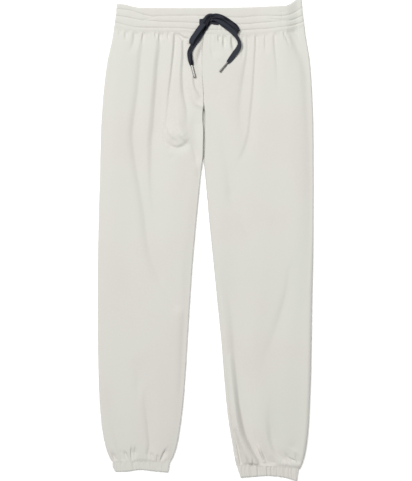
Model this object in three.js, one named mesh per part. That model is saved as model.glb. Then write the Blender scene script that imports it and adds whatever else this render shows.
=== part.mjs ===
// Off-white jogger pyjama pants laid flat, front side up: four leg panels, a wide elastic waistband,
// gathered ankle cuffs, and a flat navy drawstring tied in a bow.
// Millimetres. Seen from above, +X is to the right and +Y runs towards the waist. +Z is up.
// The origin is on the surface that the pants lie on, under the middle of their outline.

import * as THREE from "three";

// Cloth and air
const CLOTH = 1.5; // one layer of jersey
const BAND = 3; // one side of the waistband: elastic in its casing
const CUFF = 2.2; // one side of an ankle cuff
const GAP = 0.3; // between pieces at a seam
const AIR = 0.4; // between the front and back layers where they lie closest
const LEG_SEAM = 2.8; // height of the side seams' upper edge
const EDGE_ROLL = 4.5; // how far in from the outline the front layer turns down
const BACK_ROLL = 3; // how far in from the outline the back layer turns up
const EDGE_LOFT = 2; // how much fuller the legs are along their turned edges
const LOFT_REACH = 13; // how far in from the edge that fullness fades
const SEAM_DIP = 0.9; // how deep the centre front seam sinks
const SEAM_ROLL = 3; // how far beside the centre front seam it sinks
const FRONT_EASE = 0.8; // how much the smooth front rises over its lowest height

// Edges of the waistband and the cuffs, as shares of their thickness
const BAND_ROLL = 1.25; // how far in from an end the face turns down
const BAND_INSET = 0.5; // how far the inner side of an end stands in from its outer side
const BAND_TURN = 0.8; // how far the back layer turns up at an end
const BAND_LIP = 0.6; // thickness of the front layer at an end, in mm
const EDGE_THICK = 1; // thickness along a rounded edge, in mm

// Where the legs part
const FRONT_CROTCH = 279;
const BACK_CROTCH = 174;
const CROTCH_TURN = 14; // length over which the centre seam becomes an open inseam

// Drawstring
const TAPE_WIDTH = 11;
const TAPE_THICK = 1.6;
const AGLET_LONG = 24;
const AGLET_WIDE = 5.4;
const AGLET_THICK = 3.2;

// The outline of the two legs, from the waist down: the side seams and the inseams.
const LEG_OUTLINE = [
  { y: 446, leftSide: -191.5, rightSide: 208 },
  { y: 428, leftSide: -194, rightSide: 209.6 },
  { y: 407, leftSide: -198, rightSide: 213 },
  { y: 376, leftSide: -205, rightSide: 218 },
  { y: 334, leftSide: -211, rightSide: 221.6 },
  { y: 281, leftSide: -216, rightSide: 224.3 },
  { y: 229, leftSide: -219, rightSide: 225.8 },
  { y: 124, leftSide: -221.6, rightSide: 226.4 },
  { y: 40, leftSide: -224, rightSide: 226.2 },
  { y: -44, leftSide: -225.5, rightSide: 225.5 },
  { y: -128, leftSide: -225.8, rightSide: 223.6 },
  { y: -212, leftSide: -225.5, rightSide: 222.4 },
  { y: -296, leftSide: -224, rightSide: 220.7 },
  { y: -359, leftSide: -220.7, rightSide: 218.2 },
  { y: -401, leftSide: -216.3, rightSide: 215.7 },
  { y: -433, leftSide: -210, rightSide: 212 },
  { y: -454, leftSide: -203, rightSide: 208 },
  { y: -468, leftSide: -195.5, rightSide: 204 },
  { y: -483, leftSide: -190, rightSide: 197.5 },
];
const INSEAMS = [
  { y: 277, left: -6.5, right: -0.6 },
  { y: 250, left: -6.7, right: 0.2 },
  { y: 225, left: -4.8, right: -0.5 },
  { y: 197, left: -4.9, right: -0.6 },
  { y: 176, left: -5.2, right: -2.4 },
  { y: 162, left: -6.2, right: -3 },
  { y: 145, left: -8.2, right: -1.7 },
  { y: 124, left: -10.7, right: 0.2 },
  { y: 40, left: -19.1, right: 7.8 },
  { y: -44, left: -26.7, right: 16.2 },
  { y: -128, left: -32.6, right: 24.6 },
  { y: -212, left: -37.8, right: 33 },
  { y: -296, left: -43.1, right: 39.7 },
  { y: -359, left: -48.7, right: 45.6 },
  { y: -401, left: -54.4, right: 51.5 },
  { y: -433, left: -60.3, right: 57.1 },
  { y: -454, left: -67, right: 60.5 },
  { y: -468, left: -73.7, right: 63.2 },
  { y: -481, left: -79, right: 65.3 },
];
const CENTRE_FRONT = [
  { y: 430, x: -3.1 },
  { y: 397, x: -6.3 },
  { y: 355, x: -7.3 },
  { y: 323, x: -5.2 },
  { y: 302, x: -4 },
  { y: 270, x: -3.6 },
];
const CENTRE_BACK_X = -2.9;

// Lines across the garment, from its left to its right
const WAIST_SEAM = [
  { x: -193, y: 444 },
  { x: -169, y: 438.5 },
  { x: -138, y: 435.5 },
  { x: -64, y: 434.3 },
  { x: 0, y: 430.5 },
  { x: 72, y: 428.4 },
  { x: 119, y: 430.5 },
  { x: 167, y: 436.8 },
  { x: 192, y: 443 },
  { x: 209, y: 445.5 },
];
const WAIST_TOP = [
  { x: -186, y: 493.5 },
  { x: -169, y: 492 },
  { x: -154, y: 488 },
  { x: -137, y: 485.3 },
  { x: 10, y: 485 },
  { x: 94, y: 486.2 },
  { x: 136, y: 488 },
  { x: 167, y: 489.5 },
  { x: 178, y: 493.5 },
  { x: 190, y: 502 },
  { x: 201, y: 508 },
];
const WAIST_ENDS = [
  { y: 508, left: -185, right: 200.6 },
  { y: 485, left: -186.6, right: 202.7 },
  { y: 460, left: -189.5, right: 205.4 },
  { y: 443, left: -191.7, right: 208 },
];
const LEFT_HEM = [
  { x: -196, y: -466.5 },
  { x: -135, y: -467 },
  { x: -74, y: -467 },
];
const RIGHT_HEM = [
  { x: 64, y: -474.3 },
  { x: 119, y: -476 },
  { x: 167, y: -478.2 },
  { x: 199, y: -482.5 },
];
const LEFT_CUFF_EDGE = [
  { x: -190, y: -488 },
  { x: -163, y: -487 },
  { x: -138, y: -483.6 },
  { x: -106, y: -486.8 },
  { x: -79, y: -489.3 },
];
const RIGHT_CUFF_EDGE = [
  { x: 74, y: -500.4 },
  { x: 104, y: -498 },
  { x: 132, y: -496.4 },
  { x: 167, y: -500.4 },
  { x: 191, y: -508 },
];
const LEFT_CUFF_ENDS = [
  { y: -466, left: -195, right: -74.6 },
  { y: -477, left: -194.5, right: -76 },
  { y: -489, left: -188.5, right: -78.3 },
];
const RIGHT_CUFF_ENDS = [
  { y: -474, left: 65.3, right: 196 },
  { y: -484, left: 68.5, right: 195.3 },
  { y: -508, left: 76.5, right: 191.5 },
];

// Creases of the front, each a trough along its route: how deep it is at its start, middle and end, and how
// wide. A negative depth is a raised fold.
const CREASES = [
  { route: [[-168, 440], [-170, 418]], depth: [2, 1.4, 0], width: 5 },
  { route: [[-151, 438], [-156, 400]], depth: [2.2, 1.6, 0], width: 6 },
  {
    route: [
      [-131, 438], [-141, 372], [-146.5, 309], [-156.5, 218],
      [-142, 103], [-127, 2], [-106, -76], [-70, -134],
    ],
    depth: [3.4, 2.2, 0.6],
    width: 8,
  },
  {
    route: [[-98, 436], [-104, 376], [-109, 292], [-117.6, 197], [-118, 113], [-113, 50]],
    depth: [3.2, 2.8, 0.2],
    width: 7.5,
  },
  { route: [[-85, 437], [-84, 408]], depth: [2, 1.4, 0], width: 6 },
  {
    route: [[-66, 437], [-67.8, 397], [-78.8, 317], [-82.5, 262], [-85, 235]],
    depth: [3.4, 3.2, 0.4],
    width: 6.5,
  },
  {
    route: [[-52, 426], [-46, 409], [-50.8, 384], [-51, 323], [-40.5, 269], [-45, 222]],
    depth: [2.6, 3, 1.4],
    width: 7,
  },
  { route: [[-26, 334], [-10.5, 298]], depth: [0.4, 1.6, 1], width: 6 },
  { route: [[-88, 222], [-74, 195], [-56, 195], [-30, 214]], depth: [1, 2.6, 1], width: 8 },
  { route: [[-37, 187], [-24, 157], [-19, 118]], depth: [1.2, 1.4, 0], width: 9 },
  { route: [[-39, 317], [-30, 294], [-20, 278], [-8, 276]], depth: [-0.6, -1.6, -1.2], width: 6 },
  { route: [[-80, 226], [-72, 222]], depth: [-2, -2, -2], width: 9 },
  { route: [[-52, 220], [-46, 214]], depth: [-1.8, -1.8, -1.8], width: 8 },
  { route: [[-46, -48], [-51.5, -202], [-58, -349]], depth: [0.4, 1, 0.2], width: 8 },
  { route: [[-207, -338], [-190, -405], [-177, -458]], depth: [0.2, 1.8, 1.6], width: 10 },
  { route: [[-133, -306], [-123, -390], [-122, -442]], depth: [0, 1.8, 1.4], width: 8 },
  { route: [[-176, -434], [-164, -466]], depth: [0, 2, 2.6], width: 5 },
  { route: [[-156, -432], [-153, -467]], depth: [0, 2, 2.4], width: 5.5 },
  { route: [[-118, -444], [-110, -468]], depth: [0, 1.4, 1.8], width: 5 },
  { route: [[-82, -438], [-92, -466]], depth: [0, 1.6, 2.2], width: 6 },
  { route: [[15, 432], [16, 408]], depth: [2.2, 1.6, 0], width: 5 },
  { route: [[36, 432], [38, 400]], depth: [3, 2.2, 0], width: 5.5 },
  { route: [[55, 431], [56, 397]], depth: [3, 2.2, 0], width: 5.5 },
  {
    route: [[81, 431], [85, 405], [77, 344], [69, 267], [71, 218]],
    depth: [3.2, 2.2, 0.4],
    width: 7,
  },
  {
    route: [[103, 433], [101, 372], [97.7, 313], [93.5, 260], [81, 181], [70, 164]],
    depth: [2.8, 1.8, 0.8],
    width: 7,
  },
  { route: [[125, 434], [129, 400]], depth: [1.6, 1.2, 0], width: 5 },
  { route: [[140, 436], [147, 355], [148, 300]], depth: [2.2, 1.4, 0], width: 7 },
  { route: [[155, 438], [159, 412]], depth: [2.2, 1.6, 0], width: 5 },
  {
    route: [[166, 441], [180, 411], [203, 359], [208, 313], [212, 229], [213, 19], [211, -128]],
    depth: [3, 1.6, 0.6],
    width: 7,
  },
  { route: [[184, 444], [205, 386]], depth: [1.8, 1.2, 0], width: 6 },
  { route: [[22, 292], [49, 225], [64, 183]], depth: [-0.4, -1.3, -0.4], width: 12 },
  { route: [[36, 108], [46, 84], [64, 56], [87, -40]], depth: [1.4, 1, 0.4], width: 16 },
  { route: [[170, -65], [156, -147], [118, -252]], depth: [0.4, 1.5, 0.4], width: 10 },
  {
    route: [[30, -48], [49, -138], [59, -243], [66, -310], [81, -405], [95, -447], [112, -470]],
    depth: [0.3, 3, 4.4],
    width: 8,
  },
  { route: [[105, -422], [123, -470]], depth: [0.4, 2.4, 3], width: 6 },
  { route: [[128, -355], [131, -401], [150, -456]], depth: [0.3, 1.8, 2], width: 9 },
  { route: [[160, -440], [170, -472]], depth: [0.4, 2, 2.6], width: 6 },
  { route: [[60, -397], [72, -470]], depth: [0.3, 1.6, 1.6], width: 5 },
];

// Fine gathers all along the waist seam and above the cuffs: their spacing, height, and how far they reach
const WAIST_GATHER = { pitch: 15, height: 0.9, reach: 24, puff: 1.6, puffReach: 30 };
const HEM_GATHER = { pitch: 14, height: 1, reach: 16, puff: 3, puffReach: 42 };

// The waistband's three stitched rows, as shares of its depth from the top: at its left end and further right
const STITCH_ROWS = [
  { leftEnd: 0.25, share: 0.35 },
  { leftEnd: 0.52, share: 0.6 },
  { leftEnd: 0.81, share: 0.85 },
];
const ROW_PUFF = 0.9;
const ROW_END_REACH = 28;

const mix = (a, b, t) => a + (b - a) * t;
const clamp01 = (t) => Math.min(1, Math.max(0, t));
const smooth = (t) => clamp01(t) ** 2 * (3 - 2 * clamp01(t));

// A smooth curve through a table's rows: value of one column as a function of another.
function through(table, from, to) {
  const rows = table.filter((row) => row[to] !== undefined).sort((a, b) => a[from] - b[from]);
  const at = rows.map((row) => row[from]);
  const value = rows.map((row) => row[to]);
  const last = rows.length - 1;
  const slopeOf = (i) => {
    const before = Math.max(0, i - 1);
    const after = Math.min(last, i + 1);
    return (value[after] - value[before]) / (at[after] - at[before]);
  };
  return (s) => {
    if (s <= at[0]) return value[0] + slopeOf(0) * (s - at[0]);
    if (s >= at[last]) return value[last] + slopeOf(last) * (s - at[last]);
    let i = 0;
    while (s > at[i + 1]) i += 1;
    const h = at[i + 1] - at[i];
    const t = (s - at[i]) / h;
    return (
      value[i] * (1 + 2 * t) * (1 - t) ** 2 +
      slopeOf(i) * h * t * (1 - t) ** 2 +
      value[i + 1] * t * t * (3 - 2 * t) +
      slopeOf(i + 1) * h * t * t * (t - 1)
    );
  };
}

const leftSide = through(LEG_OUTLINE, "y", "leftSide");
const rightSide = through(LEG_OUTLINE, "y", "rightSide");
const leftInseam = through(INSEAMS, "y", "left");
const rightInseam = through(INSEAMS, "y", "right");
const centreFront = through(CENTRE_FRONT, "y", "x");
const waistSeam = through(WAIST_SEAM, "x", "y");
const waistTop = through(WAIST_TOP, "x", "y");

// How open the inseam is: 0 along a centre seam and 1 below the crotch.
const openBelow = (y, crotch) => smooth((crotch - y) / CROTCH_TURN);

// The inner edge of a leg panel: its centre seam, then its inseam.
function innerEdge(y, side, seamX, inseam, crotch) {
  return mix(seamX + (side * GAP) / 2, inseam(y), openBelow(y, crotch));
}

// One closed body from rows of columns. A column has a place u along its row, an upper point and a lower point.
function wall(rows) {
  const points = [];
  const faces = [];
  const indexed = rows.map((row) =>
    row.map((column) => {
      points.push(...column.over, ...column.under);
      const over = points.length / 3 - 2;
      return { u: column.u, over, under: over + 1 };
    }),
  );
  const strip = (a, b, layer, flip) => {
    let i = 0;
    let j = 0;
    while (i < a.length - 1 || j < b.length - 1) {
      const stepA = j === b.length - 1 || (i < a.length - 1 && a[i + 1].u <= b[j + 1].u);
      const third = stepA ? a[i + 1][layer] : b[j + 1][layer];
      const face = [a[i][layer], b[j][layer], third];
      faces.push(...(flip ? face.reverse() : face));
      if (stepA) i += 1;
      else j += 1;
    }
  };
  const quad = (a, b, c, d) => faces.push(a, b, c, a, c, d);
  indexed.slice(1).forEach((row, r) => {
    const above = indexed[r];
    strip(above, row, "over", false);
    strip(above, row, "under", true);
    const [a, b] = [above[0], row[0]];
    quad(a.over, a.under, b.under, b.over);
    const [c, d] = [above.at(-1), row.at(-1)];
    quad(c.over, d.over, d.under, c.under);
  });
  const first = indexed[0];
  const last = indexed.at(-1);
  for (let k = 0; k + 1 < first.length; k += 1)
    quad(first[k].over, first[k + 1].over, first[k + 1].under, first[k].under);
  for (let k = 0; k + 1 < last.length; k += 1)
    quad(last[k].over, last[k].under, last[k + 1].under, last[k + 1].over);
  return closedGeometry(points, faces);
}

function closedGeometry(points, faces) {
  const geometry = new THREE.BufferGeometry();
  geometry.setAttribute("position", new THREE.Float32BufferAttribute(points, 3));
  geometry.setIndex(faces);
  geometry.computeVertexNormals();
  return geometry;
}

// Creases as short straight stretches, for measuring how far a point is from each
const creaseStretches = CREASES.map((crease) => {
  const knots = crease.route.map(([x, y]) => new THREE.Vector3(x, y, 0));
  const curve = new THREE.CatmullRomCurve3(knots, false, "centripetal");
  const steps = Math.max(2, (crease.route.length - 1) * 4);
  const points = curve.getSpacedPoints(steps).map((p) => [p.x, p.y]);
  const xs = points.map((p) => p[0]);
  const ys = points.map((p) => p[1]);
  const reach = 3 * crease.width;
  return {
    ...crease,
    points,
    low: [Math.min(...xs) - reach, Math.min(...ys) - reach],
    high: [Math.max(...xs) + reach, Math.max(...ys) + reach],
  };
});

// Distance from a point to a crease, and how far along the crease that is, from 0 to 1.
function nearestOn(points, x, y) {
  let best = { distance: Infinity, along: 0 };
  for (let i = 0; i + 1 < points.length; i += 1) {
    const [ax, ay] = points[i];
    const [dx, dy] = [points[i + 1][0] - ax, points[i + 1][1] - ay];
    const t = clamp01(((x - ax) * dx + (y - ay) * dy) / (dx * dx + dy * dy));
    const distance = Math.hypot(x - ax - t * dx, y - ay - t * dy);
    if (distance < best.distance) best = { distance, along: (i + t) / (points.length - 1) };
  }
  return best;
}

// All creases together: a trough along each route, with a low rise on both sides of it.
const RIM_PLACE = 1.7;
const RIM_SHARE = 0.35;
function creaseHeight(x, y) {
  let height = 0;
  for (const crease of creaseStretches) {
    const { low, high, depth, width, points } = crease;
    if (x < low[0] || x > high[0] || y < low[1] || y > high[1]) continue;
    const { distance, along } = nearestOn(points, x, y);
    const d = distance / width;
    const strength =
      along < 0.5 ? mix(depth[0], depth[1], 2 * along) : mix(depth[1], depth[2], 2 * along - 1);
    height -= strength * (Math.exp(-d * d) - RIM_SHARE * Math.exp(-((d - RIM_PLACE) ** 2)));
  }
  return height;
}

// Spreads even places unevenly, by one wide wave and one narrow wave.
function unevenly(x, { wide, wideOver, narrow, narrowOver, shift }) {
  return x + wide * Math.sin(x / wideOver) + narrow * Math.sin(x / narrowOver + shift);
}

// Fine gathers: uneven waves beside a seam, dying away from it, on cloth that puffs up there.
const GATHER_UNEVEN = { wide: 2.4, wideOver: 11, narrow: 1.7, narrowOver: 5.3, shift: 1 };
function gatherHeight(x, fromSeam, kind) {
  const wave = Math.sin((2 * Math.PI * unevenly(x, GATHER_UNEVEN)) / kind.pitch);
  const puffAt = fromSeam / kind.puffReach;
  return (
    kind.height * wave * Math.exp(-((fromSeam / kind.reach) ** 2)) +
    kind.puff * puffAt * Math.exp(1 - puffAt)
  );
}

// Height of the front layer's face over the flat part of a leg.
const LOWEST_FRONT = 2 * CLOTH + AIR;
const FLOOR_SOFTNESS = 0.5;
function frontHeight(x, y, leg) {
  const fromSide = Math.abs(x - leg.side(y));
  const fromInner = Math.abs(x - leg.inner(y));
  const loft =
    EDGE_LOFT * (Math.exp(-((fromSide / LOFT_REACH) ** 2)) + Math.exp(-((fromInner / LOFT_REACH) ** 2)));
  const wanted =
    FRONT_EASE +
    loft +
    creaseHeight(x, y) +
    gatherHeight(x, Math.max(0, waistSeam(x) - y), WAIST_GATHER) +
    gatherHeight(x, Math.max(0, y - leg.hem(x)), HEM_GATHER);
  return LOWEST_FRONT + FLOOR_SOFTNESS * Math.log(1 + Math.exp(wanted / FLOOR_SOFTNESS));
}

// The two legs: their edges on the front and back layers, and the seams at their ends
const leftHem = through(LEFT_HEM, "x", "y");
const rightHem = through(RIGHT_HEM, "x", "y");
const LEGS = {
  left: {
    side: leftSide,
    hem: leftHem,
    inner: (y) => innerEdge(y, -1, centreFront(y), leftInseam, FRONT_CROTCH),
    backInner: (y) => innerEdge(y, -1, CENTRE_BACK_X, leftInseam, BACK_CROTCH),
  },
  right: {
    side: rightSide,
    hem: rightHem,
    inner: (y) => innerEdge(y, 1, centreFront(y), rightInseam, FRONT_CROTCH),
    backInner: (y) => innerEdge(y, 1, CENTRE_BACK_X, rightInseam, BACK_CROTCH),
  },
};

// Height at which the front layer's inner edge ends: at the centre seam it dips a little, along the slit it
// rests just above the back layer, and along the open inseam it meets the back layer's turned-up edge.
function innerEdgeHeight(y, flatHeight) {
  const onBack = CLOTH + GAP;
  const openHeight = mix(onBack, LEG_SEAM, openBelow(y, BACK_CROTCH));
  return mix(flatHeight - SEAM_DIP, openHeight, openBelow(y, FRONT_CROTCH));
}

const QUARTER = Math.PI / 2;
const EDGE_STEPS = [0, 0.3, 0.62, 1];

// Places across a row: the turned left edge from -1 to 0, the flat part from 0 to 1, the turned right edge to 2
function placesAcross(flatColumns) {
  const left = EDGE_STEPS.map((s) => s - 1);
  const flat = Array.from({ length: flatColumns - 1 }, (_, i) => (i + 1) / flatColumns);
  const right = EDGE_STEPS.map((s) => 2 - s).reverse();
  return [...left, ...flat, ...right];
}

// Turns a place across a row into x, and says how far round the turned edge it is.
function acrossAt(u, low, high, rollLow, rollHigh) {
  if (u <= 0) {
    const angle = (u + 1) * QUARTER;
    return { x: low + rollLow * (1 - Math.cos(angle)), angle, end: -1 };
  }
  if (u >= 1) {
    const angle = (2 - u) * QUARTER;
    return { x: high - rollHigh * (1 - Math.cos(angle)), angle, end: 1 };
  }
  return { x: mix(low + rollLow, high - rollHigh, u), angle: QUARTER, end: 0 };
}

// One column of the front layer of a leg, at place u across and share v down.
function frontColumn(leg, sideEnd, u, v) {
  let y = 0;
  let spot = null;
  for (let pass = 0; pass < 4; pass += 1) {
    const open = openBelow(y, FRONT_CROTCH);
    const innerRoll = mix(SEAM_ROLL, EDGE_ROLL, open);
    const edges = [leg.side(y), leg.inner(y)];
    const rolls = [EDGE_ROLL, innerRoll];
    spot =
      sideEnd < 0
        ? acrossAt(u, edges[0], edges[1], rolls[0], rolls[1])
        : acrossAt(u, edges[1], edges[0], rolls[1], rolls[0]);
    y = mix(waistSeam(spot.x) - GAP / 2, leg.hem(spot.x) + GAP / 2, v);
  }
  const top = frontHeight(spot.x, y, leg);
  if (spot.end === 0) return { u, over: [spot.x, y, top], under: [spot.x, y, top - CLOTH] };
  const atSide = spot.end === sideEnd;
  const turned = atSide ? 1 : openBelow(y, FRONT_CROTCH);
  const edge = atSide ? LEG_SEAM : innerEdgeHeight(y, top);
  const underEdge = edge - (1 - turned) * CLOTH;
  const inward = -spot.end * turned * CLOTH * Math.cos(spot.angle);
  return {
    u,
    over: [spot.x, y, mix(edge, top, Math.sin(spot.angle))],
    under: [spot.x + inward, y, mix(underEdge, top - CLOTH, Math.sin(spot.angle))],
  };
}

// Shares down a leg where rows lie, and how many flat columns each has
const FRONT_ROWS = [
  { from: 0, to: 0.055, rows: 5, columns: 44 },
  { from: 0.078, to: 0.355, rows: 10, columns: 28 },
  { from: 0.39, to: 0.86, rows: 11, columns: 20 },
  { from: 0.89, to: 0.955, rows: 3, columns: 26 },
  { from: 0.97, to: 1, rows: 3, columns: 32 },
];

function rowsOf(bands, columnAt) {
  return bands.flatMap(({ from, to, rows, columns }) =>
    Array.from({ length: rows }, (_, i) => {
      const v = mix(from, to, i / (rows - 1));
      return placesAcross(columns).map((u) => columnAt(u, v));
    }),
  );
}

const frontLeg = (leg, sideEnd) => wall(rowsOf(FRONT_ROWS, (u, v) => frontColumn(leg, sideEnd, u, v)));

// The back layer of a leg lies flat, and turns up at its side seam and inseam.
const BACK_ROWS = [
  { from: 0, to: 0.01, rows: 2, columns: 16 },
  { from: 0.05, to: 0.96, rows: 20, columns: 4 },
  { from: 0.99, to: 1, rows: 2, columns: 12 },
];

function backColumn(leg, sideEnd, u, v) {
  let y = 0;
  let spot = null;
  for (let pass = 0; pass < 5; pass += 1) {
    const [low, high] = sideEnd < 0 ? [leg.side(y), leg.backInner(y)] : [leg.backInner(y), leg.side(y)];
    spot = acrossAt(u, low, high, BACK_ROLL, BACK_ROLL);
    y = mix(waistSeam(spot.x) - GAP / 2, leg.hem(spot.x) + GAP / 2, v);
  }
  if (spot.end === 0) return { u, over: [spot.x, y, CLOTH], under: [spot.x, y, 0] };
  const turned = spot.end === sideEnd ? 1 : openBelow(y, BACK_CROTCH);
  const lip = LEG_SEAM - GAP;
  const round = 1 - Math.sin(spot.angle);
  const inward = -spot.end * turned * CLOTH * Math.cos(spot.angle);
  return {
    u,
    over: [spot.x + inward, y, mix(CLOTH, mix(CLOTH, lip, turned), round)],
    under: [spot.x, y, turned * lip * round],
  };
}

const backLeg = (leg, sideEnd) => wall(rowsOf(BACK_ROWS, (u, v) => backColumn(leg, sideEnd, u, v)));

// A band of two layers between two lines: the front one with a shaped face, the back one flat beneath it.
// shares are the places of its rows from the upper line to the lower one, and face gives its height.
function bandWall({ upper, lower, ends, thick, shares, columns, front, face }) {
  const left = through(ends, "y", "left");
  const right = through(ends, "y", "right");
  const roll = thick * BAND_ROLL;
  const rows = shares.map((v) =>
    placesAcross(columns).map((u) => {
      let y = upper(0);
      let spot = null;
      for (let pass = 0; pass < 5; pass += 1) {
        spot = acrossAt(u, left(y), right(y), roll, roll);
        y = mix(upper(spot.x), lower(spot.x), v);
      }
      const round = Math.sin(spot.angle);
      const inset = -spot.end * Math.cos(spot.angle);
      if (!front)
        return {
          u,
          over: [spot.x + inset * thick * BAND_INSET, y, thick],
          under: [spot.x, y, thick * BAND_TURN * (1 - round)],
        };
      const bottom = thick + GAP;
      return {
        u,
        over: [spot.x, y, mix(bottom + BAND_LIP, bottom + face(spot.x, v), round)],
        under: [spot.x + inset * thick * BAND_INSET, y, bottom],
      };
    }),
  );
  return wall(rows);
}

// The waistband's face: puffed rows between its lines of stitching, with a rounded top edge.
const BAND_EDGE_SHARE = 0.06; // share of its depth over which an edge rounds off
const BAND_FOOT = 0.7; // share of its thickness left along the waist seam
function waistbandFace(x, v) {
  const fromLeftEnd = Math.exp(-((x - WAIST_ENDS[0].left) / ROW_END_REACH));
  const lines = STITCH_ROWS.map((row) => mix(row.share, row.leftEnd, clamp01(fromLeftEnd)));
  const marks = [0, ...lines, 1];
  let k = 0;
  while (k < marks.length - 2 && v > marks[k + 1]) k += 1;
  const within = (v - marks[k]) / (marks[k + 1] - marks[k]);
  const puff = ROW_PUFF * Math.sqrt(clamp01(4 * within * (1 - within)));
  const topRound = Math.sqrt(clamp01(v / BAND_EDGE_SHARE));
  const footRound = mix(BAND_FOOT, 1, Math.sqrt(clamp01((1 - v) / BAND_EDGE_SHARE)));
  return mix(EDGE_THICK, BAND, topRound) * footRound + puff * topRound;
}

const WAIST_SHARES = [0, 0.02, 0.06, 0.17, 0.3, 0.35, 0.4, 0.475, 0.55, 0.6, 0.65, 0.73, 0.81, 0.85, 0.9, 1];

// A cuff's face: upright puckers in the elastic casing, with rounded edges.
const CUFF_EDGE_SHARE = 0.12;
const CUFF_PUCKER = 0.5;
const CUFF_UNEVEN = { wide: 1.6, wideOver: 7, narrow: 1.2, narrowOver: 3.1, shift: 0 };
function cuffFace(pitch) {
  return (x, v) => {
    const edges =
      Math.sqrt(clamp01(v / CUFF_EDGE_SHARE)) * Math.sqrt(clamp01((1 - v) / CUFF_EDGE_SHARE));
    const pucker = 1 + Math.cos((2 * Math.PI * unevenly(x, CUFF_UNEVEN)) / pitch);
    return mix(EDGE_THICK, CUFF, edges) + edges * CUFF_PUCKER * pucker;
  };
}
const CUFF_SHARES = [0, 0.05, 0.15, 0.5, 0.85, 0.95, 1];
const FLAT_SHARES = [0, 0.5, 1];

// Height of the garment's face under the drawstring: the waistband above its seam, a front leg below it.
function faceHeight(x, y) {
  const depth = waistTop(x) - waistSeam(x);
  const v = (waistTop(x) - y) / depth;
  if (v > 1) return frontHeight(x, y, x < centreFront(y) ? LEGS.left : LEGS.right);
  return BAND + GAP + waistbandFace(x, clamp01(v));
}

// The highest face under a piece of tape that lies across a point, felt out over its width and along it.
const FELT_ACROSS = [-0.55, -0.3, 0, 0.3, 0.55];
const FELT_ALONG = [-3, 0, 3];
function faceUnderTape(x, y, wide) {
  const places = FELT_ACROSS.map((share) => share * TAPE_WIDTH);
  const heights = places.flatMap((across) =>
    FELT_ALONG.map((along) =>
      faceHeight(
        x + across * Math.cos(wide) - along * Math.sin(wide),
        y + across * Math.sin(wide) + along * Math.cos(wide),
      ),
    ),
  );
  return Math.max(...heights);
}

// Flat tape: an eight-sided section swept along a route. Each point has a place, how far the tape's underside
// is lifted off the cloth, the direction of its width in plan (degrees from +X), and its roll about its length.
function tapeStations(route, steps) {
  const line = new THREE.CatmullRomCurve3(
    route.map((p) => new THREE.Vector3(p.x, p.y, p.lift)),
    false,
    "centripetal",
  );
  const columnAt = (t, key, usual = 0) => {
    const place = t * (route.length - 1);
    const i = Math.min(route.length - 2, Math.floor(place));
    return mix(route[i][key] ?? usual, route[i + 1][key] ?? usual, place - i);
  };
  const stations = Array.from({ length: steps + 1 }, (_, i) => {
    const t = i / steps;
    const place = line.getPoint(t);
    const wide = THREE.MathUtils.degToRad(columnAt(t, "wide"));
    const roll = THREE.MathUtils.degToRad(columnAt(t, "roll"));
    const broad = columnAt(t, "broad", 1);
    return { place, wide, roll, broad, face: faceUnderTape(place.x, place.y, wide) };
  });
  const near = (i, list) => [list[Math.max(0, i - 1)], list[i], list[Math.min(steps, i + 1)]];
  const faces = stations.map((station) => station.face);
  const highest = faces.map((_, i) => Math.max(...near(i, faces)));
  const resting = highest.map((_, i) => near(i, highest).reduce((sum, h) => sum + h / 3, 0));
  stations.forEach((station, i) => {
    const tipped = (TAPE_WIDTH / 2) * Math.abs(Math.sin(station.roll)) * station.broad;
    station.place.z += resting[i] + TAPE_THICK / 2 + tipped;
  });
  return stations.map(({ place, wide, roll, broad }, i) => ({
    place,
    broad,
    along: stations[Math.min(steps, i + 1)].place
      .clone()
      .sub(stations[Math.max(0, i - 1)].place)
      .normalize(),
    wide: new THREE.Vector3(Math.cos(wide), Math.sin(wide), 0),
    roll,
    thick: 1,
  }));
}

const TAPE_BEVEL = 0.48;
function tape(stations) {
  const halfWide = TAPE_WIDTH / 2;
  const halfThick = TAPE_THICK / 2;
  const bevel = TAPE_BEVEL;
  const section = [
    [-halfWide + bevel, -halfThick],
    [halfWide - bevel, -halfThick],
    [halfWide, -halfThick + bevel],
    [halfWide, halfThick - bevel],
    [halfWide - bevel, halfThick],
    [-halfWide + bevel, halfThick],
    [-halfWide, halfThick - bevel],
    [-halfWide, -halfThick + bevel],
  ];
  return sweep(section, stations);
}

// Rings of one section along a line, closed by a face at each end.
function sweep(section, stations) {
  const points = [];
  const faces = [];
  const n = section.length;
  for (const { place, along, wide, roll, broad, thick } of stations) {
    const across = wide.clone().addScaledVector(along, -wide.dot(along)).normalize();
    const up = new THREE.Vector3().crossVectors(across, along).normalize();
    const turned = across.clone().applyAxisAngle(along, roll);
    const raised = up.clone().applyAxisAngle(along, roll);
    for (const [a, b] of section) {
      const p = place.clone().addScaledVector(turned, a * broad).addScaledVector(raised, b * thick);
      points.push(p.x, p.y, p.z);
    }
  }
  for (let r = 0; r + 1 < stations.length; r += 1)
    for (let k = 0; k < n; k += 1) {
      const [a, b] = [r * n + k, r * n + ((k + 1) % n)];
      faces.push(a, a + n, b, b, a + n, b + n);
    }
  const end = (stations.length - 1) * n;
  for (let k = 1; k + 1 < n; k += 1) {
    faces.push(0, k, k + 1);
    faces.push(end, end + k + 1, end + k);
  }
  return facingOut(points, faces);
}

// Turns every face round if the body came out inside out.
function facingOut(points, faces) {
  const at = (i) => new THREE.Vector3(points[3 * i], points[3 * i + 1], points[3 * i + 2]);
  let volume = 0;
  for (let f = 0; f < faces.length; f += 3)
    volume += at(faces[f]).dot(at(faces[f + 1]).cross(at(faces[f + 2])));
  return closedGeometry(points, volume < 0 ? faces.reverse() : faces);
}

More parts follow.
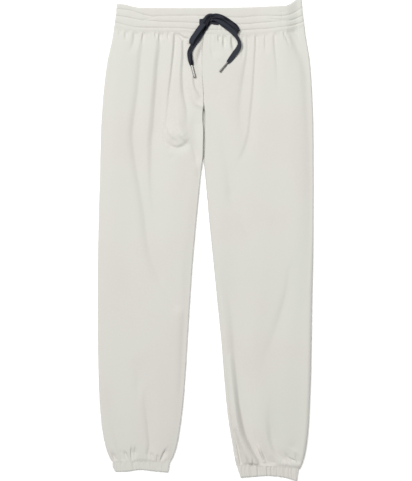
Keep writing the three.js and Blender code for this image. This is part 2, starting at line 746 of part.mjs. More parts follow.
// The knot: its outline from above, and the heights between which it lies.
const KNOT = { bottom: 7.9, height: 9.2, bevel: 1.5 };
const KNOT_OUTLINE = [
  [-5, 463.5],
  [-7, 455],
  [2, 448.5],
  [10, 447],
  [16, 452],
  [18.5, 460],
  [17.5, 468.5],
  [10, 473],
  [2, 470.5],
];

function knot() {
  const outline = new THREE.Shape(KNOT_OUTLINE.map(([x, y]) => new THREE.Vector2(x, y)));
  const geometry = new THREE.ExtrudeGeometry(outline, {
    depth: KNOT.height - 2 * KNOT.bevel,
    bevelThickness: KNOT.bevel,
    bevelSize: KNOT.bevel,
    bevelOffset: -KNOT.bevel,
    bevelSegments: 2,
  });
  geometry.translate(0, 0, KNOT.bottom + KNOT.bevel);
  return geometry;
}

// Routes of the drawstring, each with its lift: how far the tape's underside is above the cloth.
const UNDER = GAP;
const OVER_TAIL = 3.3;
const LOOP_OPEN = 4.4; // between the two layers of a loop
const LOOP_TOP = OVER_TAIL + LOOP_OPEN;
const LOOP_TURN = OVER_TAIL + LOOP_OPEN / 2;
const TIP_CLEAR = 0.2; // extra room under a tip
const INTO_TIP = UNDER + (AGLET_THICK - TAPE_THICK) / 2 + TIP_CLEAR;
const STUB_LEFT = [
  { x: -13, y: 454.8, lift: UNDER, wide: 90 },
  { x: -10.6, y: 455, lift: 0.4, wide: 90 },
  { x: -7.6, y: 455.3, lift: 0.6, wide: 90 },
];
const STUB_RIGHT = [
  { x: 27.6, y: 453.8, lift: UNDER, wide: 90 },
  { x: 24, y: 454, lift: 0.4, wide: 90 },
  { x: 19.4, y: 454.4, lift: 0.8, wide: 90 },
];
const LOOP_LEFT = [
  { x: -2.9, y: 451.2, lift: OVER_TAIL + 0.4, wide: 146 },
  { x: -9.5, y: 441.5, lift: OVER_TAIL, wide: 146 },
  { x: -16.3, y: 431.4, lift: OVER_TAIL, wide: 145 },
  { x: -27, y: 416.4, lift: OVER_TAIL, wide: 145 },
  { x: -30.6, y: 411, lift: OVER_TAIL + 0.4, wide: 145 },
  { x: -32.6, y: 408, lift: LOOP_TURN, wide: 145 },
  { x: -30.6, y: 411, lift: LOOP_TOP - 0.4, wide: 145 },
  { x: -27, y: 416.4, lift: LOOP_TOP, wide: 145 },
  { x: -16.3, y: 431.4, lift: LOOP_TOP + 0.6, wide: 145 },
  { x: -9.5, y: 441.5, lift: LOOP_TOP + 0.2, wide: 146 },
  { x: -2.9, y: 451.2, lift: LOOP_TOP - 0.6, wide: 146 },
];
const LOOP_RIGHT = [
  { x: 21.4, y: 468.8, lift: OVER_TAIL + 1.6, wide: 69 },
  { x: 31, y: 465, lift: OVER_TAIL + 1.4, wide: 62 },
  { x: 41.3, y: 458.2, lift: OVER_TAIL + 1, wide: 55 },
  { x: 52, y: 449.8, lift: OVER_TAIL + 0.8, wide: 50 },
  { x: 62, y: 440, lift: OVER_TAIL, wide: 46 },
  { x: 67, y: 435, lift: OVER_TAIL + 0.4, wide: 46 },
  { x: 69.6, y: 432.5, lift: LOOP_TURN, wide: 46 },
  { x: 67, y: 435, lift: LOOP_TOP - 0.4, wide: 46 },
  { x: 62, y: 440, lift: LOOP_TOP, wide: 46 },
  { x: 52, y: 449.8, lift: LOOP_TOP + 1, wide: 50 },
  { x: 41.3, y: 458.2, lift: LOOP_TOP + 1, wide: 55 },
  { x: 31, y: 465, lift: LOOP_TOP + 0.6, wide: 62 },
  { x: 21.4, y: 468.8, lift: LOOP_TOP - 0.2, wide: 69 },
];
const TAIL_LEFT = [
  { x: 3, y: 447.2, lift: UNDER + 0.4, wide: 145 },
  { x: -5, y: 436, lift: UNDER, wide: 147 },
  { x: -14, y: 421, lift: UNDER, wide: 148 },
  { x: -22.5, y: 409.5, lift: UNDER, wide: 143 },
  { x: -29.6, y: 398.6, lift: UNDER, wide: 148, roll: 8 },
  { x: -33, y: 388.5, lift: UNDER, wide: 164, roll: 22 },
  { x: -32, y: 376.7, lift: UNDER, wide: 184, roll: 26 },
  { x: -29.4, y: 366.6, lift: UNDER, wide: 192, roll: 16, broad: 0.85 },
  { x: -28, y: 361, lift: INTO_TIP, wide: 194, roll: 8, broad: 0.5 },
];
const TAIL_RIGHT = [
  { x: 21.8, y: 461.4, lift: 3.1, wide: 52 },
  { x: 30.6, y: 455, lift: 2, wide: 52 },
  { x: 38.4, y: 448.6, lift: 0.6, wide: 52 },
  { x: 53.3, y: 436.8, lift: UNDER, wide: 50 },
  { x: 65.1, y: 422.7, lift: UNDER, wide: 38 },
  { x: 71.4, y: 409.9, lift: UNDER, wide: 10, roll: 14 },
  { x: 69.6, y: 399.2, lift: UNDER, wide: -22, roll: 12 },
  { x: 60.4, y: 386.4, lift: UNDER, wide: -38 },
  { x: 51.6, y: 374.6, lift: UNDER, wide: -38 },
  { x: 46.4, y: 368.2, lift: INTO_TIP, wide: -40, broad: 0.5 },
];

// A crimped metal tip: a flattened tube that starts where the tape ends and points on along it.
const AGLET_SIDES = 12;
function aglet(end, along, wideAngle) {
  const wide = new THREE.Vector3(Math.cos(wideAngle), Math.sin(wideAngle), 0);
  const section = Array.from({ length: AGLET_SIDES }, (_, k) => {
    const turn = (2 * Math.PI * k) / AGLET_SIDES;
    return [(Math.cos(turn) * AGLET_WIDE) / 2, (Math.sin(turn) * AGLET_THICK) / 2];
  });
  const profile = [
    { at: 0, scale: 0.82 },
    { at: 1, scale: 1 },
    { at: AGLET_LONG - 2.5, scale: 1 },
    { at: AGLET_LONG - 0.8, scale: 0.85 },
    { at: AGLET_LONG, scale: 0.5 },
  ];
  return sweep(
    section,
    profile.map(({ at, scale }) => ({
      place: end.clone().addScaledVector(along, at + GAP),
      along,
      wide,
      roll: 0,
      broad: scale,
      thick: scale,
    })),
  );
}

// The tip lies on the cloth beyond the end of a tail.
const TIP_DROP = 2; // the furthest that it slopes down from where it starts
function agletAfter(stations) {
  const { place, along, wide } = stations.at(-1);
  const flat = new THREE.Vector3(along.x, along.y, 0).normalize();
  const far = place.clone().addScaledVector(flat, AGLET_LONG);
  const direction = Math.atan2(wide.y, wide.x);
  const middle = place.clone().addScaledVector(flat, AGLET_LONG / 2);
  const face = Math.max(
    faceUnderTape(far.x, far.y, direction),
    faceUnderTape(middle.x, middle.y, direction),
  );
  far.z = Math.max(face + UNDER + AGLET_THICK / 2, place.z - TIP_DROP);
  return aglet(place, far.sub(place).normalize(), direction);
}

// Materials
const finish = (color, roughness, metalness = 0) =>
  new THREE.MeshStandardMaterial({ color, roughness, metalness, side: THREE.DoubleSide });
const jersey = finish(0xe4e2db, 0.9);
const elastic = finish(0xe0dfd8, 0.92);
const navyTape = finish(0x2b2f3f, 0.85);
const tipMetal = finish(0x6f6d66, 0.3, 1);

const pants = new THREE.Group();
function add(name, geometry, material) {
  const mesh = new THREE.Mesh(geometry, material);
  mesh.name = name;
  pants.add(mesh);
}

add("back_leg_left", backLeg(LEGS.left, -1), jersey);
add("back_leg_right", backLeg(LEGS.right, 1), jersey);
add("front_leg_left", frontLeg(LEGS.left, -1), jersey);
add("front_leg_right", frontLeg(LEGS.right, 1), jersey);

const waistband = {
  upper: waistTop,
  lower: (x) => waistSeam(x) + GAP,
  ends: WAIST_ENDS,
  thick: BAND,
  columns: 26,
};
add("waistband_back", bandWall({ ...waistband, shares: FLAT_SHARES, front: false }), elastic);
add(
  "waistband_front",
  bandWall({ ...waistband, shares: WAIST_SHARES, front: true, face: waistbandFace }),
  elastic,
);

const CUFFS = [
  { side: "left", upper: leftHem, edge: LEFT_CUFF_EDGE, ends: LEFT_CUFF_ENDS, pitch: 16 },
  { side: "right", upper: rightHem, edge: RIGHT_CUFF_EDGE, ends: RIGHT_CUFF_ENDS, pitch: 10 },
];
for (const { side, upper, edge, ends, pitch } of CUFFS) {
  const cuff = {
    upper: (x) => upper(x) - GAP / 2,
    lower: through(edge, "x", "y"),
    ends,
    thick: CUFF,
  };
  add(`cuff_${side}_back`, bandWall({ ...cuff, columns: 8, shares: FLAT_SHARES, front: false }), elastic);
  add(
    `cuff_${side}_front`,
    bandWall({ ...cuff, columns: 24, shares: CUFF_SHARES, front: true, face: cuffFace(pitch) }),
    elastic,
  );
}

add("cord_knot", knot(), navyTape);
add("cord_stub_left", tape(tapeStations(STUB_LEFT, 4)), navyTape);
add("cord_stub_right", tape(tapeStations(STUB_RIGHT, 4)), navyTape);
add("cord_loop_left", tape(tapeStations(LOOP_LEFT, 28)), navyTape);
add("cord_loop_right", tape(tapeStations(LOOP_RIGHT, 28)), navyTape);
const tails = { left: tapeStations(TAIL_LEFT, 18), right: tapeStations(TAIL_RIGHT, 21) };
for (const [side, stations] of Object.entries(tails)) {
  add(`cord_tail_${side}`, tape(stations), navyTape);
  add(`aglet_${side}`, agletAfter(stations), tipMetal);
}

export default pants;
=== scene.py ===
import math

import bpy
import numpy as np
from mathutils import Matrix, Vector


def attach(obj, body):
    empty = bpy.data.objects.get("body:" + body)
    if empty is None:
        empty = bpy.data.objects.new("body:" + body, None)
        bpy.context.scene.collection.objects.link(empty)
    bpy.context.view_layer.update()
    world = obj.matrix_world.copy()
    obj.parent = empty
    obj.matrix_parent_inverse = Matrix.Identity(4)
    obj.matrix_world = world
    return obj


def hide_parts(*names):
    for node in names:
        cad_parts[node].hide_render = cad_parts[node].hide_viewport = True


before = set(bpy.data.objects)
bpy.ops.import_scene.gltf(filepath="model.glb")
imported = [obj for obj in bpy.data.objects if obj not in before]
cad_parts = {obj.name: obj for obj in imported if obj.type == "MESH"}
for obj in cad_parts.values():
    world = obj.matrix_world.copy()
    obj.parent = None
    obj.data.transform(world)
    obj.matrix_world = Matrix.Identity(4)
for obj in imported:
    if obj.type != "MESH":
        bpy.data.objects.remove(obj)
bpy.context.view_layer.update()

BODY = "root"
MM = 0.001
scene = bpy.context.scene

# Everything below is in millimetres until a mesh is made.

# Cloth and air, as in the frame
CLOTH = 1.5
BAND = 3
CUFF = 2.2
GAP = 0.3
AIR = 0.4
LEG_SEAM = 2.8
BACK_ROLL = 3
SEAM_ROLL = 3
CROTCH_ROLL = 1.3
SEWN = 0.03
FRONT_CROTCH = 279
BACK_CROTCH = 174
CROTCH_TURN = 14
TAPE_WIDTH = 11
TAPE_THICK = 1.6
AGLET_LONG = 24
AGLET_WIDE = 5.4
AGLET_THICK = 3.2

# How a front panel turns down at its edges. Rolls are widths, the side's above and below the knee. The rest
# are heights, but lower_share is how far EDGE_LOFT replaces side_fall below the knee.
LEFT_EDGES = {
    "side_rolls": (4.5, 5.5), "side_fall": -2.2, "lower_share": 0.3,
    "inner_roll": 2.6, "inner_fall": -2, "crotch_loft": 5,
}
RIGHT_EDGES = {
    "side_rolls": (2.8, 8.5), "side_fall": -1, "lower_share": 1,
    "inner_roll": 3, "inner_fall": -0.8, "crotch_loft": 1.2,
}
EDGE_LOFT = 1.3
SIDE_REACH = 19
INNER_REACH = 13
CROTCH_REACH = 11
CROTCH_FOOT = 135
CROTCH_HEAD = 296
ROLL_FROM = 40
LOFT_FROM = 60
LOWER_REACH = 160
SEAM_DIPS = (0.35, 2.4)
DIP_FROM = 370
DIP_REACH = 70
SLIT_FROM = 150
SLIT_REACH = 25

# The outline: x of the side seams and inseams at these heights, seams as (x, y) from left to right
SIDE_Y = [
    446, 428, 407, 376, 334, 281, 229, 124, 40, -44, -128, -212, -296, -359, -401, -433, -454, -468, -483,
]
LEFT_SIDE_X = [
    -191.5, -194, -198, -205, -211, -216, -219, -221.6, -224, -225.5, -225.8, -225.5, -224, -220.7, -216.3,
    -210, -203, -195.5, -190,
]
RIGHT_SIDE_X = [
    208, 209.6, 213, 218, 221.6, 224.3, 225.8, 226.4, 226.2, 225.5, 223.6, 222.4, 220.7, 218.2, 215.7, 212,
    208, 204, 197.5,
]
INSEAM_Y = [
    277, 250, 225, 197, 176, 162, 145, 124, 40, -44, -128, -212, -296, -359, -401, -433, -454, -468, -481,
]
LEFT_INSEAM_X = [
    -5.2, -5.7, -4, -4.7, -5.2, -6.2, -8.2, -10.7, -19.1, -26.7, -32.6, -37.8, -43.1, -48.7, -54.4, -60.3,
    -67, -73.7, -79,
]
RIGHT_INSEAM_X = [
    -1.6, -1.2, -1.8, -1.3, -2.4, -3, -1.7, 0.2, 7.8, 16.2, 24.6, 33, 39.7, 45.6, 51.5, 57.1, 60.5, 63.2,
    65.3,
]
CENTRE_FRONT = [(430, -3.1), (397, -6.3), (355, -7.3), (323, -5.2), (302, -4), (270, -3.6)]
CENTRE_BACK_X = -2.9
WAIST_SEAM = [
    (-193, 444), (-169, 438.5), (-138, 435.5), (-64, 434.3), (0, 430.5), (72, 428.4),
    (119, 430.5), (167, 436.8), (192, 443), (209, 445.5),
]
WAIST_TOP = [
    (-186, 493.5), (-169, 492), (-154, 488), (-137, 485.3), (10, 485), (94, 486.2), (136, 488),
    (167, 489.5), (178, 493.5), (190, 502), (201, 508),
]
WAIST_ENDS = (
    [(508, -185), (485, -186.6), (460, -189.5), (443, -191.7)],
    [(508, 200.6), (485, 202.7), (460, 205.4), (443, 208)],
)
LEFT_HEM = [(-196, -466.5), (-135, -467), (-74, -467)]
RIGHT_HEM = [(64, -474.3), (119, -476), (167, -478.2), (199, -482.5)]

# Creases: route from the waist down, depth at start, middle and end, and width. A negative depth is a raised
# fold.
LEFT_CREASES = [
    ([(-182, 440), (-184, 424)], (1.4, 0.8, 0), 5.7),
    ([(-168, 440), (-170, 414)], (2.8, 1.8, 0), 6),
    ([(-151, 438), (-154, 412), (-163, 388)], (2.8, 1.6, 0), 10),
    ([(-135, 419), (-138, 396), (-141.5, 367), (-146, 313), (-153, 260), (-157, 216), (-151, 162),
      (-142, 110), (-134, 61), (-127, 2), (-119, -38), (-104, -76), (-85, -111), (-68, -136)],
      (1.9, 2.9, 1.5), 16.5),
    ([(-131, 438), (-133, 424), (-136, 404)], (3.6, 3.2, 0.8), 6),
    ([(-121, 437), (-121, 420)], (2.2, 1.4, 0), 4.3),
    ([(-107, 437), (-106, 418)], (3.4, 2, 0), 4.5),
    ([(-98.5, 424), (-99.5, 402), (-101.5, 378), (-103.5, 352), (-107, 292), (-111, 238), (-116, 197),
      (-118, 113), (-113, 50)], (1.7, 5, 1.6), 15),
    ([(-98, 437), (-98.5, 408)], (3.8, 3.4, 0.8), 5.2),
    ([(-91, 437), (-91, 412)], (3.4, 2.4, 0), 4.4),
    ([(-80.5, 437), (-79.5, 410)], (3.4, 2.2, 0), 4.5),
    ([(-66, 437), (-67.5, 400), (-74, 340), (-79, 300), (-83, 262), (-87, 228)], (2.9, 3.4, 2), 8),
    ([(-40, 420), (-49, 421.5), (-61, 433)], (1.8, 4.4, 3.6), 5.8),
    ([(-50, 412), (-49, 384), (-51, 350), (-49, 312), (-43, 278), (-41, 258), (-42, 236)],
      (2.6, 3.2, 0.6), 10),
    ([(-27, 336), (-25, 322), (-20, 311), (-12, 300)], (2, 1.9, 1), 9),
    ([(-34, 332), (-32, 308), (-26, 286), (-8, 276)], (-0.4, -1.5, -1.6), 12),
    ([(-38, 207), (-47, 197), (-61, 191), (-75, 194)], (0.5, 2.3, 2), 10),
    ([(-91, 230), (-92, 215), (-88, 203), (-78, 195)], (1.6, 2.1, 2), 8),
    ([(-6, 418), (-10, 404), (-18, 380), (-21, 362)], (1.6, 2.8, 0.4), 11),
    ([(-35, 208), (-30, 195), (-24, 172), (-20, 150), (-17, 116)], (0.2, 1.9, 0.2), 12),
    ([(-37, 272), (-33, 240), (-27, 210)], (0.6, 1.7, 0.7), 30),
    ([(-82, 226), (-75, 216)], (-1.9, -2.4, -1.9), 15),
    ([(-58, 220), (-51, 211)], (-1.8, -2.3, -1.8), 13),
    ([(-66, 268), (-62, 244), (-56, 226)], (-0.6, -1.8, -0.8), 12),
    ([(-86, 176), (-70, 162)], (0.2, 0.7, 0.1), 14),
    ([(-45, -30), (-47, -120), (-51.5, -202), (-56, -300), (-58, -330)], (0.3, 1.2, 0.3), 13),
    ([(-205, -300), (-204, -360), (-196, -400), (-186, -440), (-179, -462)], (0, 1.4, 1.8), 15),
    ([(-150, -246), (-147, -300), (-147, -352)], (0, 0.9, 0), 14),
    ([(-134, -290), (-130, -340), (-124, -390), (-121, -430), (-124, -450)], (0, 1.9, 1.6), 11.5),
    ([(-198, -448), (-192, -463)], (0.6, 2.4, 2.2), 5.4),
    ([(-182, -438), (-178, -456)], (0.2, 1.8, 1), 5),
    ([(-175, -442), (-166, -460)], (0.6, 3.4, 1.8), 4.6),
    ([(-157.5, -436), (-156.5, -460)], (0.6, 3.4, 1.8), 4.6),
    ([(-149.5, -435), (-151, -458)], (0.4, 2.6, 1.2), 4.4),
    ([(-118, -444), (-113, -460)], (0.4, 2.2, 1.4), 4.8),
    ([(-84, -439), (-89, -449), (-95, -462)], (0.4, 3, 2), 5.2),
    ([(-104, -450), (-102, -463)], (0, 1.2, 1.2), 4.4),
]
RIGHT_CREASES = [
    ([(26, 434), (26, 410)], (4.4, 3, 0.2), 5.5),
    ([(36.5, 434), (36.5, 398)], (5, 4.6, 0.3), 6.5),
    ([(54, 433), (54, 410), (57, 390)], (4.6, 5, 0.4), 8),
    ([(67, 431), (68, 400)], (2.2, 1.6, 0), 6),
    ([(82, 433), (84.5, 412), (83.5, 384), (79, 352), (75, 326), (71.5, 300), (69, 267), (71, 232)],
      (2.2, 1.5, 0.6), 10),
    ([(75, 431), (75, 400), (74, 372)], (2.4, 1.6, 0.2), 6),
    ([(104, 434), (103, 400), (101, 372), (97.7, 313), (93, 260), (87, 212), (76, 178), (68, 166)],
      (2.2, 1.5, 0.6), 8),
    ([(113, 433), (114, 416)], (1.8, 1, 0), 5.5),
    ([(123, 434), (123, 404), (124, 384)], (2, 1.2, 0), 6.5),
    ([(141, 437), (143, 400), (147, 355), (148, 300)], (2.6, 1.4, 0), 8),
    ([(150, 437), (154, 415)], (2, 1.2, 0), 6),
    ([(159, 439), (166, 420), (176, 400)], (2.6, 1.8, 0.2), 7.5),
    ([(166, 441), (182, 411), (196, 380), (204, 350), (206, 320), (208, 270), (212, 170), (213, 100),
      (212, -40), (208, -130)], (2.8, 1.8, 0.6), 19),
    ([(178, 443), (190, 418), (200, 390), (206, 366)], (2.6, 1.8, 0.5), 15),
    ([(8, 404), (14, 376)], (0.3, 1.2, 0.2), 9),
    ([(14, 386), (24, 378), (30, 366)], (-0.5, -1, -0.3), 12),
    ([(24, 292), (40, 250), (56, 205), (64, 176)], (-0.3, -1.1, -0.4), 25),
    ([(16, 262), (28, 220), (34, 180), (40, 140), (46, 92)], (0, 0.8, 1), 20),
    ([(44, 96), (50, 76), (66, 50), (84, -6), (87, -44)], (1.1, 1, 0.3), 22),
    ([(170, -65), (166, -105), (156, -147), (140, -196), (118, -252)], (0.4, 1.3, 0.3), 14),
    ([(34, -84), (44, -122), (51, -170), (56, -230), (61, -281), (67, -344), (77, -397), (88, -424),
      (99, -445), (111, -464), (120, -472)], (0.5, 5.4, 5.6), 17),
    ([(70, -340), (77, -372), (85, -400), (97, -428), (107, -448), (117, -464)], (1.2, 5.2, 6.4), 8.5),
    ([(47, -250), (54, -320), (63, -390), (77, -436), (90, -466)], (-0.8, -3.8, -3), 11),
    ([(18, -60), (26.7, -128), (34.5, -212), (41.2, -296), (47.1, -359), (53, -401), (58.6, -433),
      (62, -454)], (0.6, 2.4, 1.6), 2.8),
    ([(58, -402), (65.5, -437), (72, -470)], (1.2, 2.8, 2.2), 4),
    ([(104, -428), (112, -446), (119, -466)], (-0.8, -4.4, -4.6), 7),
    ([(104, -424), (115, -444), (125, -466)], (1, 5, 5.6), 6.5),
    ([(128, -355), (130, -390), (133, -418), (142, -446), (156, -460)], (0.3, 2.4, 2.6), 16),
    ([(143, -468), (131, -466), (123, -458)], (1.6, 4.4, 3), 4.4),
    ([(164, -447), (171, -466)], (0.6, 3.2, 2), 4.6),
    ([(188, -465), (180, -462), (171, -457)], (0.8, 3.2, 2.2), 4.4),
    ([(184, -446), (190, -466)], (0.2, 1.4, 2), 6.5),
    ([(160, -428), (178, -436), (190, -444)], (0, 0.8, 0.3), 12),
    ([(96, -456), (98, -474)], (0.6, 1.6, 2.2), 5),
    ([(84, -456), (86, -474)], (0.4, 1.4, 2), 5),
]
# Low broad swells of the cloth: middle, half length along y, half width, height
SWELLS = [
    (-190, 250, 130, 34, 1.2), (-196, -60, 190, 30, 1), (-130, 20, 150, 26, 1.3), (-88, -90, 200, 34, 1.4),
    (-150, -330, 110, 36, 1.6), (-96, -380, 90, 22, 1.2), (-128, 330, 90, 10, 0.9), (-60, 110, 110, 24, 1.2),
    (58, -392, 60, 14, 1.6), (112, -400, 70, 20, 1.8), (-14, 205, 60, 26, -1.8),
    (50, 330, 120, 26, 1), (130, 300, 130, 30, 0.8), (182, 250, 150, 22, 1), (188, 310, 190, 48, 2),
    (110, 40, 160, 40, 1.2),
    (186, -40, 220, 26, 1.2), (100, -200, 150, 32, 1.5), (170, -330, 130, 34, 1.6), (34, 20, 120, 18, 0.8),
]
WAIST_GATHER = {"pitch": 8.4, "height": 0.42, "reach": 14, "puff": 1, "puff_reach": 40}
HEM_GATHER = {"pitch": 7, "height": 0.45, "reach": 7, "puff": 0.7, "puff_reach": 42}
BODY_RISE = 5.6
WAIST_TURN = 4.5
HEM_TURN = 4.2
HEM_FALL = 2.6
WAIST_FALL = 2.0
HEM_FOOT = 5.2  # height of the cloth where a cuff takes it in
STAND_REACH = 45
WAIST_REACH = 26
HEM_REACH = 55
CREASE_DEPTH = 1.75
# Shares of a crease's width: how far its two walls fade, where its dark wall lies, and how far it counts
STEEP = 0.4
GENTLE = 0.95
DARK_SIDE = 0.38
CREASE_REACH = 4.5
# Rows of stitching across the waistband, as (x, y)
STITCH_ROWS = [
    [(-186, 482), (-159, 479), (-134, 471), (-110, 466), (-96, 467.2), (-8, 467.3), (51, 464.4), (73, 463.6),
     (94, 465.6), (118, 467.3), (158, 466), (178, 470), (198, 482)],
    [(-184, 467.3), (-158, 463), (-131, 457.8), (-112, 456.8), (-96, 455.2), (-41, 453.6), (-16, 452.1),
     (64, 449.4), (94, 450.5), (115, 452.6), (158, 455.7), (178, 457.5), (203, 468)],
    [(-180, 451.5), (-160, 446), (-138, 443.1), (-96, 442.5), (-43, 441), (-26, 439), (10, 438), (72, 436.8),
     (104, 438.9), (135, 440.4), (160, 443.3), (177, 446), (205, 455)],
]
# Short folds in the waistband: route, depth, width
BAND_FOLDS = [
    ([(128, 461), (145, 459.3), (159, 458.2), (178, 460)], 1.1, 1.6),
    ([(-132, 471), (-118, 464.5), (-108, 462)], 0.9, 1.8),
    ([(-134, 458), (-122, 460.5), (-108, 463)], 0.8, 1.6),
    ([(159, 480), (159.6, 466), (159, 452), (160, 442)], 0.7, 1.8),
    ([(150, 473), (170, 476)], 0.5, 1.5),
    ([(26, 448), (28, 435)], 1.3, 1.8),
    ([(34, 450), (36, 434)], 1.5, 1.9),
    ([(42, 446), (44, 433)], 1.1, 1.7),
]
ROW_PUFF = 1.15
GROOVE = 1.3
GROOVE_WIDE = 1.5


# Small mathematics

def mix(a, b, t):
    return a + (b - a) * t


def clamp01(t):
    return np.clip(t, 0, 1)


def smooth(t):
    t = clamp01(t)
    return t * t * (3 - 2 * t)


def bell(t):
    return np.exp(-(t ** 2))


def points(*columns):
    return np.stack(columns, -1)


def unit(rows):
    return rows / np.linalg.norm(rows, axis=1)[:, None]


def through(table):
    """A smooth curve through a table's rows, the second column as a function of the first."""
    rows = sorted(table)
    at = np.array([row[0] for row in rows], float)
    value = np.array([row[1] for row in rows], float)
    last = len(rows) - 1
    before = np.maximum(np.arange(last + 1) - 1, 0)
    after = np.minimum(np.arange(last + 1) + 1, last)
    slope = (value[after] - value[before]) / (at[after] - at[before])

    def curve(s):
        s = np.asarray(s, float)
        i = np.clip(np.searchsorted(at, s) - 1, 0, last - 1)
        h = at[i + 1] - at[i]
        t = np.clip((s - at[i]) / h, 0, 1)
        inside = (
            value[i] * (1 + 2 * t) * (1 - t) ** 2
            + slope[i] * h * t * (1 - t) ** 2
            + value[i + 1] * t * t * (3 - 2 * t)
            + slope[i + 1] * h * t * t * (t - 1)
        )
        return inside + slope[0] * np.minimum(s - at[0], 0) + slope[last] * np.maximum(s - at[last], 0)

    return curve


def smooth_route(route, per_span):
    """A Catmull-Rom line through points of any number of columns."""
    p = np.array(route, float)
    p = np.vstack([2 * p[0] - p[1], p, 2 * p[-1] - p[-2]])
    spans = []
    for i in range(1, len(p) - 2):
        t = np.linspace(0, 1, per_span, endpoint=False)[:, None]
        a, b, c, d = p[i - 1], p[i], p[i + 1], p[i + 2]
        spans.append(
            0.5 * (2 * b + (c - a) * t + (2 * a - 5 * b + 4 * c - d) * t**2 + (3 * b - a - 3 * c + d) * t**3)
        )
    return np.vstack(spans + [p[-2:-1]])


left_side, right_side = (through(list(zip(SIDE_Y, xs))) for xs in (LEFT_SIDE_X, RIGHT_SIDE_X))
left_inseam, right_inseam = (through(list(zip(INSEAM_Y, xs))) for xs in (LEFT_INSEAM_X, RIGHT_INSEAM_X))
centre_front = through(CENTRE_FRONT)
waist_seam = through(WAIST_SEAM)
waist_top = through(WAIST_TOP)
left_hem = through(LEFT_HEM)
right_hem = through(RIGHT_HEM)


def open_below(y, crotch):
    return smooth((crotch - y) / CROTCH_TURN)


def inner_edge(y, side, seam_x, inseam, crotch):
    return mix(seam_x + side * SEWN, inseam(y), open_below(y, crotch))


class Leg:
    def __init__(self, name, side_end, side, inseam, hem, creases, edges):
        self.name, self.side_end, self.creases, self.edges = name, side_end, creases, edges
        self.side, self.inseam, self.hem = side, inseam, hem

    def inner(self, y):
        return inner_edge(y, self.side_end, centre_front(y), self.inseam, FRONT_CROTCH)

    def back_inner(self, y):
        return inner_edge(y, self.side_end, CENTRE_BACK_X, self.inseam, BACK_CROTCH)

    def side_roll(self, y):
        return mix(*self.edges["side_rolls"], smooth((ROLL_FROM - y) / LOWER_REACH))


LEFT_LEG = Leg("left", -1, left_side, left_inseam, left_hem, LEFT_CREASES, LEFT_EDGES)
RIGHT_LEG = Leg("right", 1, right_side, right_inseam, right_hem, RIGHT_CREASES, RIGHT_EDGES)


# The relief of the cloth

def nearest(line, x, y):
    """For each point: how far it is from a line, its place along it from 0 to 1, and its side of it."""
    best = np.full(x.shape, np.inf)
    along = np.zeros(x.shape)
    side = np.zeros(x.shape)
    count = len(line) - 1
    for i in range(count):
        (ax, ay), (bx, by) = line[i], line[i + 1]
        dx, dy = bx - ax, by - ay
        t = clamp01(((x - ax) * dx + (y - ay) * dy) / (dx * dx + dy * dy))
        distance = np.hypot(x - ax - t * dx, y - ay - t * dy)
        closer = distance < best
        best = np.where(closer, distance, best)
        along = np.where(closer, (i + t) / count, along)
        side = np.where(closer, dx * (y - ay) - dy * (x - ax), side)
    return best, along, side


def crease_height(x, y, creases):
    """All creases together; where troughs overlap, the deeper one counts most."""
    troughs = np.zeros_like(x)
    folds = np.zeros_like(x)
    for route, (start, middle, end), width in creases:
        line = smooth_route(route, 6)
        reach = CREASE_REACH * width
        low, high = line.min(axis=0) - reach, line.max(axis=0) + reach
        near = (x > low[0]) & (x < high[0]) & (y > low[1]) & (y < high[1])
        if not near.any():
            continue
        # the route is the dark line in the photo's light, which the fading wall carries
        distance, along, side = nearest(line, x[near] - DARK_SIDE * width, y[near])
        strength = np.where(along < 0.5, mix(start, middle, 2 * along), mix(middle, end, 2 * along - 1))
        # a crease runs out wider and softer at its shallow end
        faded = along if start > end else 1 - along
        spread = 1 + 0.8 * faded * min(1, np.ptp(line[:, 1]) / 200)
        share = 0.5 + 0.5 * np.tanh(side / (np.abs(side).max() + 1e-9) * 60)
        d = distance / (mix(STEEP, GENTLE, share) * width * spread)
        depth = CREASE_DEPTH * strength * np.exp(-(d ** 1.7))
        troughs[near] += np.maximum(0, depth) ** 3
        folds[near] += np.maximum(0, -depth)
    return folds - np.cbrt(troughs)


def swell_height(x, y):
    height = np.zeros_like(x)
    for cx, cy, along, across, rise in SWELLS:
        height += rise * np.exp(-(((x - cx) / across) ** 2) - ((y - cy) / along) ** 2)
    return height


def gather_height(x, from_seam, kind):
    uneven = x + 2.4 * np.sin(x / 11) + 1.7 * np.sin(x / 5.3 + 1)
    wave = np.sin(2 * math.pi * uneven / kind["pitch"]) + 0.5 * np.sin(2 * math.pi * uneven / 6.1 + 2)
    reach = kind["reach"] * (1 + 0.4 * np.sin(x / 7.7))
    puff_at = from_seam / kind["puff_reach"]
    return kind["height"] * wave * bell(from_seam / reach) + kind["puff"] * puff_at * np.exp(1 - puff_at)


def unevenness(x, y):
    """Soft small unevenness of lying cloth, never quite flat."""
    return (
        0.09 * np.sin(x / 13 + 2 * np.sin(y / 61)) * np.sin(y / 47 + 1.3 * np.sin(x / 29))
        + 0.05 * np.sin(x / 6.1 + y / 37 + 1.7) * np.sin(y / 23 - x / 41)
    )


LOWEST_FRONT = 2 * CLOTH + AIR


